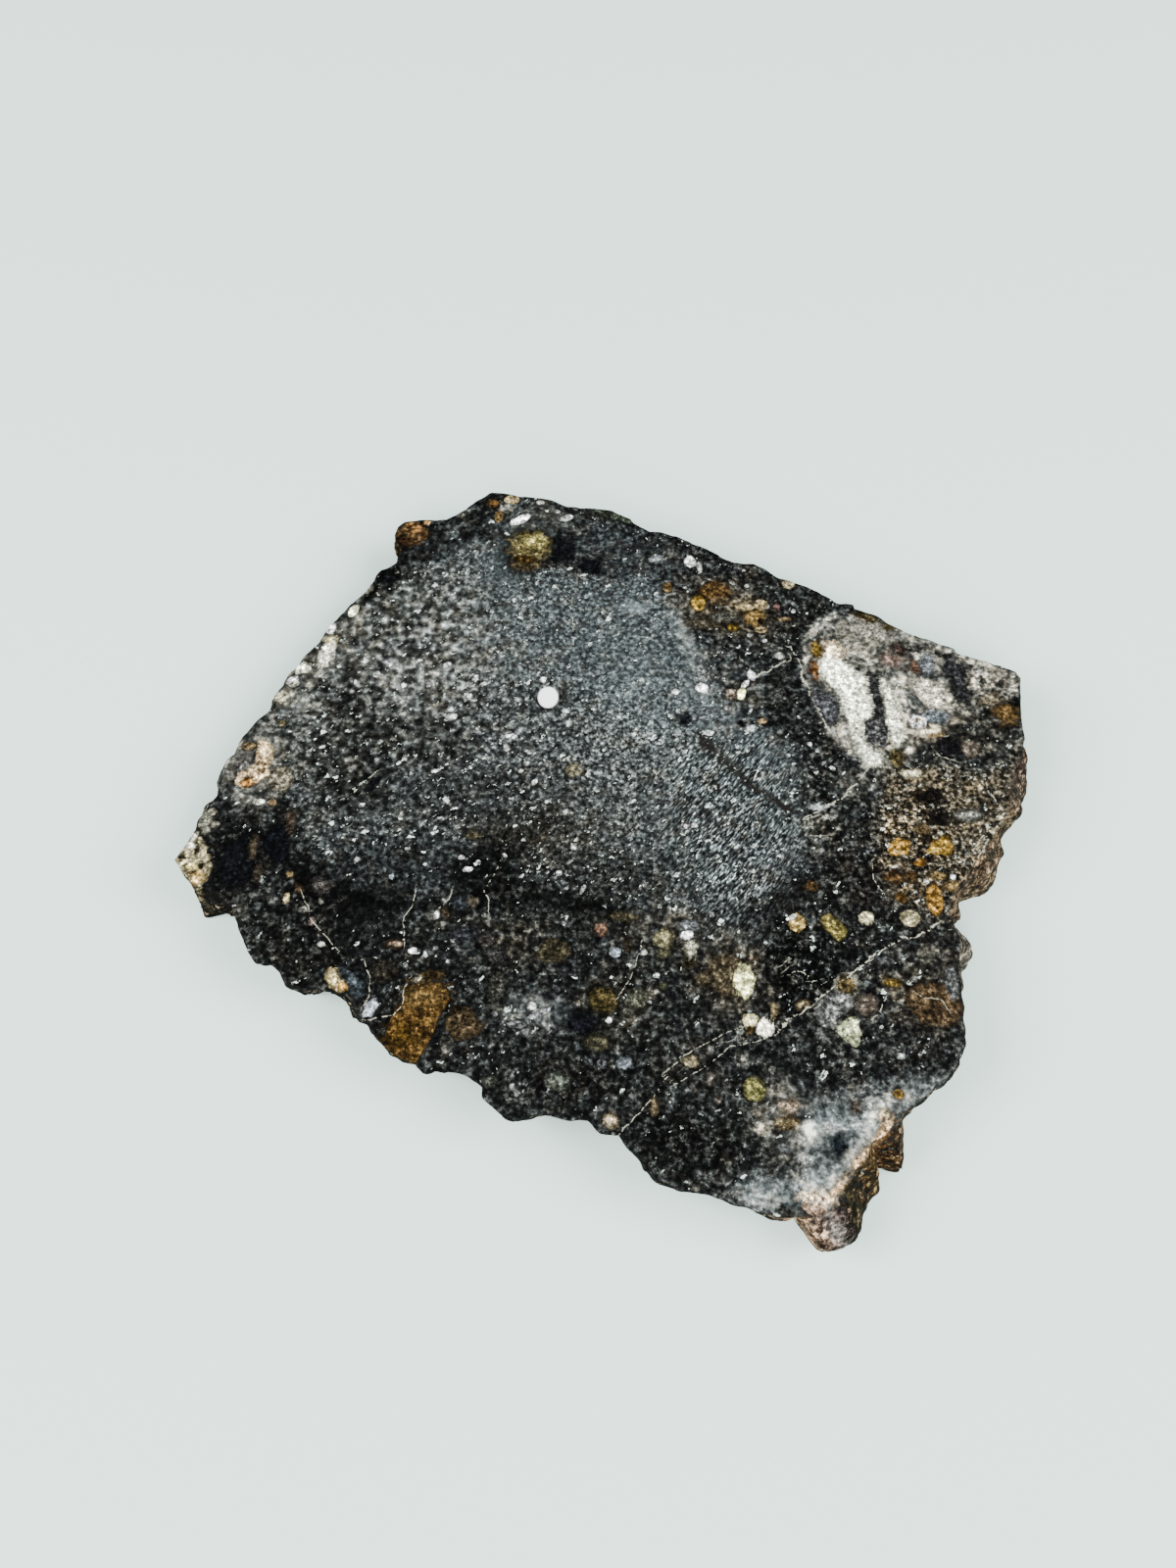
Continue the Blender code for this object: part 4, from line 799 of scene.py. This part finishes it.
def brecciaMaterial():
    # Cut aubrite breccia: near-black ground with grey crystals, pale and brown fragments, fine veins
    material = bpy.data.materials.new("aubrite_breccia")
    material.use_nodes = True
    tree = material.node_tree
    shader = tree.nodes["Principled BSDF"]

    def add(kind, inputs, output=0, **settings):
        return addNode(tree, kind, inputs, output, **settings)

    def calculate(operation, *values):
        return add("Math", dict(enumerate(values)), operation=operation)

    def laid(name):
        # The three values of an attribute
        return add("SeparateXYZ", {0: add("Attribute", {}, "Vector", attribute_name=name)}).node.outputs

    def noise(at, scale, detail, roughness=0.5, distortion=0.0):
        # Noise about 0, in units of its own spread
        value = add("TexNoise", {"Vector": at, "Scale": scale, "Detail": detail,
                                 "Roughness": roughness, "Distortion": distortion})
        return calculate("MULTIPLY_ADD", value, 14.0, -7.0)

    def between(value, low, high, first=0.0, last=1.0):
        return add("MapRange", {0: value, 1: low, 2: high, 3: first, 4: last})

    def mix(share, first, second):
        return add("Mix", {0: share, 2: first, 3: second})

    def blend(share, first, second):
        return add("Mix", {0: share, 6: first, 7: second}, 2, data_type="RGBA")

    def flat(code):
        return (*paint(code), 1.0)

    place = add("TexCoord", {}, "Object")
    place = add("VectorMath", {0: place, "Scale": 1000.0}, operation="SCALE")
    tone, spread, warm = laid("ground")
    blueAndSheen, coarse, dash = laid("crystals")
    marble, shards, specks = laid("texture")
    chipEdge, markEdge, beadEdge = laid("edges")
    veinAcross, veinNear, depth = laid("veins")
    crackAcross, crackNear, back = laid("cracks")

    # Crystals: how bright they are varies about the tone of the place, evenly in ratio
    small = noise(place, 4.4, 2.0, 0.6)
    large = noise(place, 2.2, 2.0, 0.5)
    turned = add("VectorRotate", {"Vector": place, "Angle": radians(-52)}, rotation_type="Z_AXIS")
    turned = add("VectorMath", {0: turned, 1: (3.4, 10.0, 7.0)}, operation="MULTIPLY")
    smeared = noise(turned, 1.0, 1.0)
    mottled = noise(place, 1.0, 5.0, 0.65, 0.6)
    grain = mix(coarse, small, large)
    grain = mix(dash, grain, smeared)
    grain = mix(marble, grain, mottled)

    # Faint fragments all through the ground, a share of the cells of a bent Voronoi pattern
    bend = add("VectorMath", {0: mottled, "Scale": 0.12}, operation="SCALE")
    bent = add("VectorMath", {0: place, 1: bend}, operation="ADD")
    shard = add("TexVoronoi", {"Vector": bent, "Scale": 0.85}).node
    chance, shade, girth = add("SeparateColor", {0: shard.outputs["Color"]}).node.outputs
    inside = calculate("SUBTRACT", between(girth, 0.0, 1.0, 0.12, 0.5), shard.outputs["Distance"])
    inside = calculate("MULTIPLY", between(inside, 0.0, 0.06), calculate("LESS_THAN", chance, 0.6))
    inside = calculate("MULTIPLY", inside, shards)
    lift = calculate("MULTIPLY", inside, between(shade, 0.0, 1.0, -0.5, 2.0))

    light = calculate("MULTIPLY_ADD", grain, spread, calculate("ADD", tone, lift))
    light = calculate("MINIMUM", calculate("EXPONENT", light), 0.95)
    rust = calculate("MULTIPLY_ADD", mottled, 0.1, calculate("MULTIPLY_ADD", inside, 0.25, warm))
    # blue tint: the stone's blue-grey, and where the haze shades raise it, part of a painted sheen
    hue = blend(blueAndSheen, (0.90, 1.0, 0.95, 1), (0.82, 1.0, 1.04, 1))
    hue = blend(rust, hue, (1.38, 1.02, 0.50, 1))
    colour = add("VectorMath", {0: hue, "Scale": light}, operation="SCALE")

    # Bright specks of two sizes and broken shape, most of them faint: white crystal grains, partly
    # painted glints of light off crystal faces
    wavy = add("CombineXYZ", {0: small, 1: large, 2: smeared})
    wavy = add("VectorMath", {0: wavy, 1: (0.05, 0.05, 0.05), 2: place}, operation="MULTIPLY_ADD")
    crumbsAndShading = 0.0
    for size, share in ((2.0, 0.45), (3.7, 0.5)):
        cell = add("TexVoronoi", {"Vector": wavy, "Scale": size}).node
        chance, girth, glow = add("SeparateColor", {0: cell.outputs["Color"]}).node.outputs
        # for the rim: each cell's own random brightness, darker towards its edge as painted shade in the
        # gaps between grains
        crumbsAndShading = calculate("ADD", between(chance, 0.0, 1.0, -1.2, 1.2), crumbsAndShading)
        crumbsAndShading = calculate("MULTIPLY_ADD", cell.outputs["Distance"], -1.2, crumbsAndShading)
        chosen = calculate("LESS_THAN", chance, calculate("MULTIPLY", specks, share))
        speckAndGlint = calculate("SUBTRACT", between(girth, 0.0, 1.0, 0.14, 0.36), cell.outputs["Distance"])
        speckAndGlint = calculate("MULTIPLY", between(speckAndGlint, 0.0, 0.1), chosen)
        speckAndGlint = calculate("MULTIPLY", speckAndGlint, between(calculate("POWER", glow, 2.0), 0.0, 1.0, 0.05, 0.9))
        colour = blend(speckAndGlint, colour, flat("#dfe4e0"))

    # Short crinkled light lines in the dark ground, where the mottling crosses its own middle
    hair = between(calculate("ABSOLUTE", mottled), 0.09, 0.03)
    hair = calculate("MULTIPLY", hair, between(large, 0.4, 1.3, 0.0, 0.5))
    hair = calculate("MULTIPLY", hair, shards)
    colour = blend(hair, colour, flat("#b4b6ae"))

    # Fragments and marks, with ragged edges and a mottled inside
    rag = noise(place, 3.0, 3.0, 0.65)
    fine = noise(place, 5.0, 3.0, 0.7)
    uneven = calculate("MULTIPLY_ADD", fine, 0.75, calculate("MULTIPLY", rag, 0.5))
    for edge, name, ragged in ((chipEdge, "chipColour", 0.22), (markEdge, "markColour", 0.2)):
        border = calculate("MULTIPLY_ADD", rag, ragged, edge)
        tint = add("Attribute", {}, "Color", attribute_name=name)
        inner = calculate("ADD", uneven, between(border, -1.2, 0.1, -0.15, -0.65))
        tint = add("VectorMath", {0: tint, "Scale": calculate("EXPONENT", inner)}, operation="SCALE")
        shadow = between(border, 1.0, 0.3, 1.0, 0.4)
        colour = add("VectorMath", {0: colour, "Scale": shadow}, operation="SCALE")
        colour = blend(between(border, 0.35, -0.35), colour, tint)

    # Veins and cracks
    for across, near, code, holes, wander, core in (
            (veinAcross, veinNear, "#c8c8bc", -0.5, 0.035, 0.024),
            (crackAcross, crackNear, "#25231f", -2.0, 0.025, 0.014)):
        gap = calculate("ABSOLUTE", calculate("MULTIPLY_ADD", large, wander, across))
        shown = calculate("MULTIPLY", between(gap, 0.052, core), near)
        shown = calculate("MULTIPLY", shown, between(small, holes - 0.5, holes + 1.0))
        colour = blend(shown, colour, flat(code))

    # Metal bead: flat white, a painted highlight standing for the lamp's reflection in the metal
    colour = blend(between(beadEdge, 0.05, -0.05), colour, (0.95, 0.95, 0.95, 1.0))

    # Broken rim: its own tints, mottled in grains of two sizes, with painted shade in the gaps between
    # grains and, on the highest, cream that is partly their own colour and partly a painted highlight
    onRim = calculate("MULTIPLY", between(depth, 0.0, 0.05), calculate("SUBTRACT", 1.0, back))
    layers = add("VectorMath", {0: place, 1: (1.0, 1.0, 1.6)}, operation="MULTIPLY")
    crumbsAndShading = calculate("MULTIPLY_ADD", noise(layers, 3.0, 3.0, 0.65), 0.8, crumbsAndShading)
    tint = add("Attribute", {}, "Color", attribute_name="rimColour")
    crumbColourAndShade = calculate("EXPONENT", calculate("ADD", crumbsAndShading, 0.1))
    tint = add("VectorMath", {0: tint, "Scale": crumbColourAndShade}, operation="SCALE")
    # cream on the highest grains: partly their own colour, partly a painted highlight
    tint = blend(between(crumbsAndShading, 0.7, 1.7, 0.0, 0.8), tint, flat("#d4c8ae"))
    colour = blend(calculate("MULTIPLY", onRim, 0.85), colour, tint)

    tree.links.new(colour, shader.inputs["Base Color"])
    tree.links.new(between(onRim, 0.0, 1.0, 0.5, 0.85), shader.inputs["Roughness"])
    shader.inputs["Specular IOR Level"].default_value = 0.03
    relief = add("TexNoise", {"Vector": layers, "Scale": 2.3, "Detail": 3.0, "Roughness": 0.65})
    strength = between(onRim, 0.0, 1.0, 0.06, 1.0)
    bump = add("Bump", {"Height": relief, "Strength": strength, "Distance": 0.0004})
    tree.links.new(bump, shader.inputs["Normal"])
    return material


mesh.materials.append(brecciaMaterial())

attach(stone, "root")
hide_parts("meteorite_slice")

# Camera: close above the slice, looking down at the photograph's angle
cameraSettings = {"distance": 74.0, "elevation": 63.0, "lens": 29.25}
camera = bpy.data.objects.new("camera", bpy.data.cameras.new("camera"))
bpy.context.scene.collection.objects.link(camera)
tilt = radians(cameraSettings["elevation"])
target = np.array([sliceShape["shift"][0], sliceShape["shift"][1], sliceShape["thickness"]])
camera.location = (target + cameraSettings["distance"] * np.array([0, -cos(tilt), sin(tilt)])) * mm
camera.rotation_euler = (radians(90) - tilt, 0, 0)
camera.data.lens = cameraSettings["lens"]
camera.data.clip_start = 0.001
bpy.context.scene.camera = camera

bpy.ops.mesh.primitive_plane_add(size=2.0)
floor = bpy.context.object
floor.name = "floor"
card = bpy.data.materials.new("white_card")
card.use_nodes = True
card.node_tree.nodes["Principled BSDF"].inputs["Base Color"].default_value = (0.65, 0.82, 0.76, 1)
card.node_tree.nodes["Principled BSDF"].inputs["Roughness"].default_value = 0.9
card.node_tree.nodes["Principled BSDF"].inputs["Specular IOR Level"].default_value = 0.1
floor.data.materials.append(card)

# Soft lamps at the left, right and near side: none stands where the face would mirror it
lamps = [
    {"name": "left", "place": (-0.30, -0.05, 0.26), "size": 0.25, "power": 2.9},
    {"name": "right", "place": (0.30, -0.05, 0.26), "size": 0.25, "power": 2.9},
    {"name": "near", "place": (0.0, -0.34, 0.24), "size": 0.25, "power": 2.1},
]
for settings in lamps:
    lamp = bpy.data.objects.new(settings["name"], bpy.data.lights.new(settings["name"], "AREA"))
    lamp.data.energy = settings["power"]
    lamp.data.size = settings["size"]
    lamp.location = settings["place"]
    aim = np.array(settings["place"])
    lamp.rotation_euler = (np.arctan2(np.hypot(aim[0], aim[1]), aim[2]), 0, np.arctan2(aim[0], -aim[1]))
    bpy.context.scene.collection.objects.link(lamp)
world = bpy.data.worlds.new("studio")
bpy.context.scene.world = world
world.use_nodes = True
world.node_tree.nodes["Background"].inputs[0].default_value = (0.52, 0.55, 0.55, 1)
print("camera and lights set")
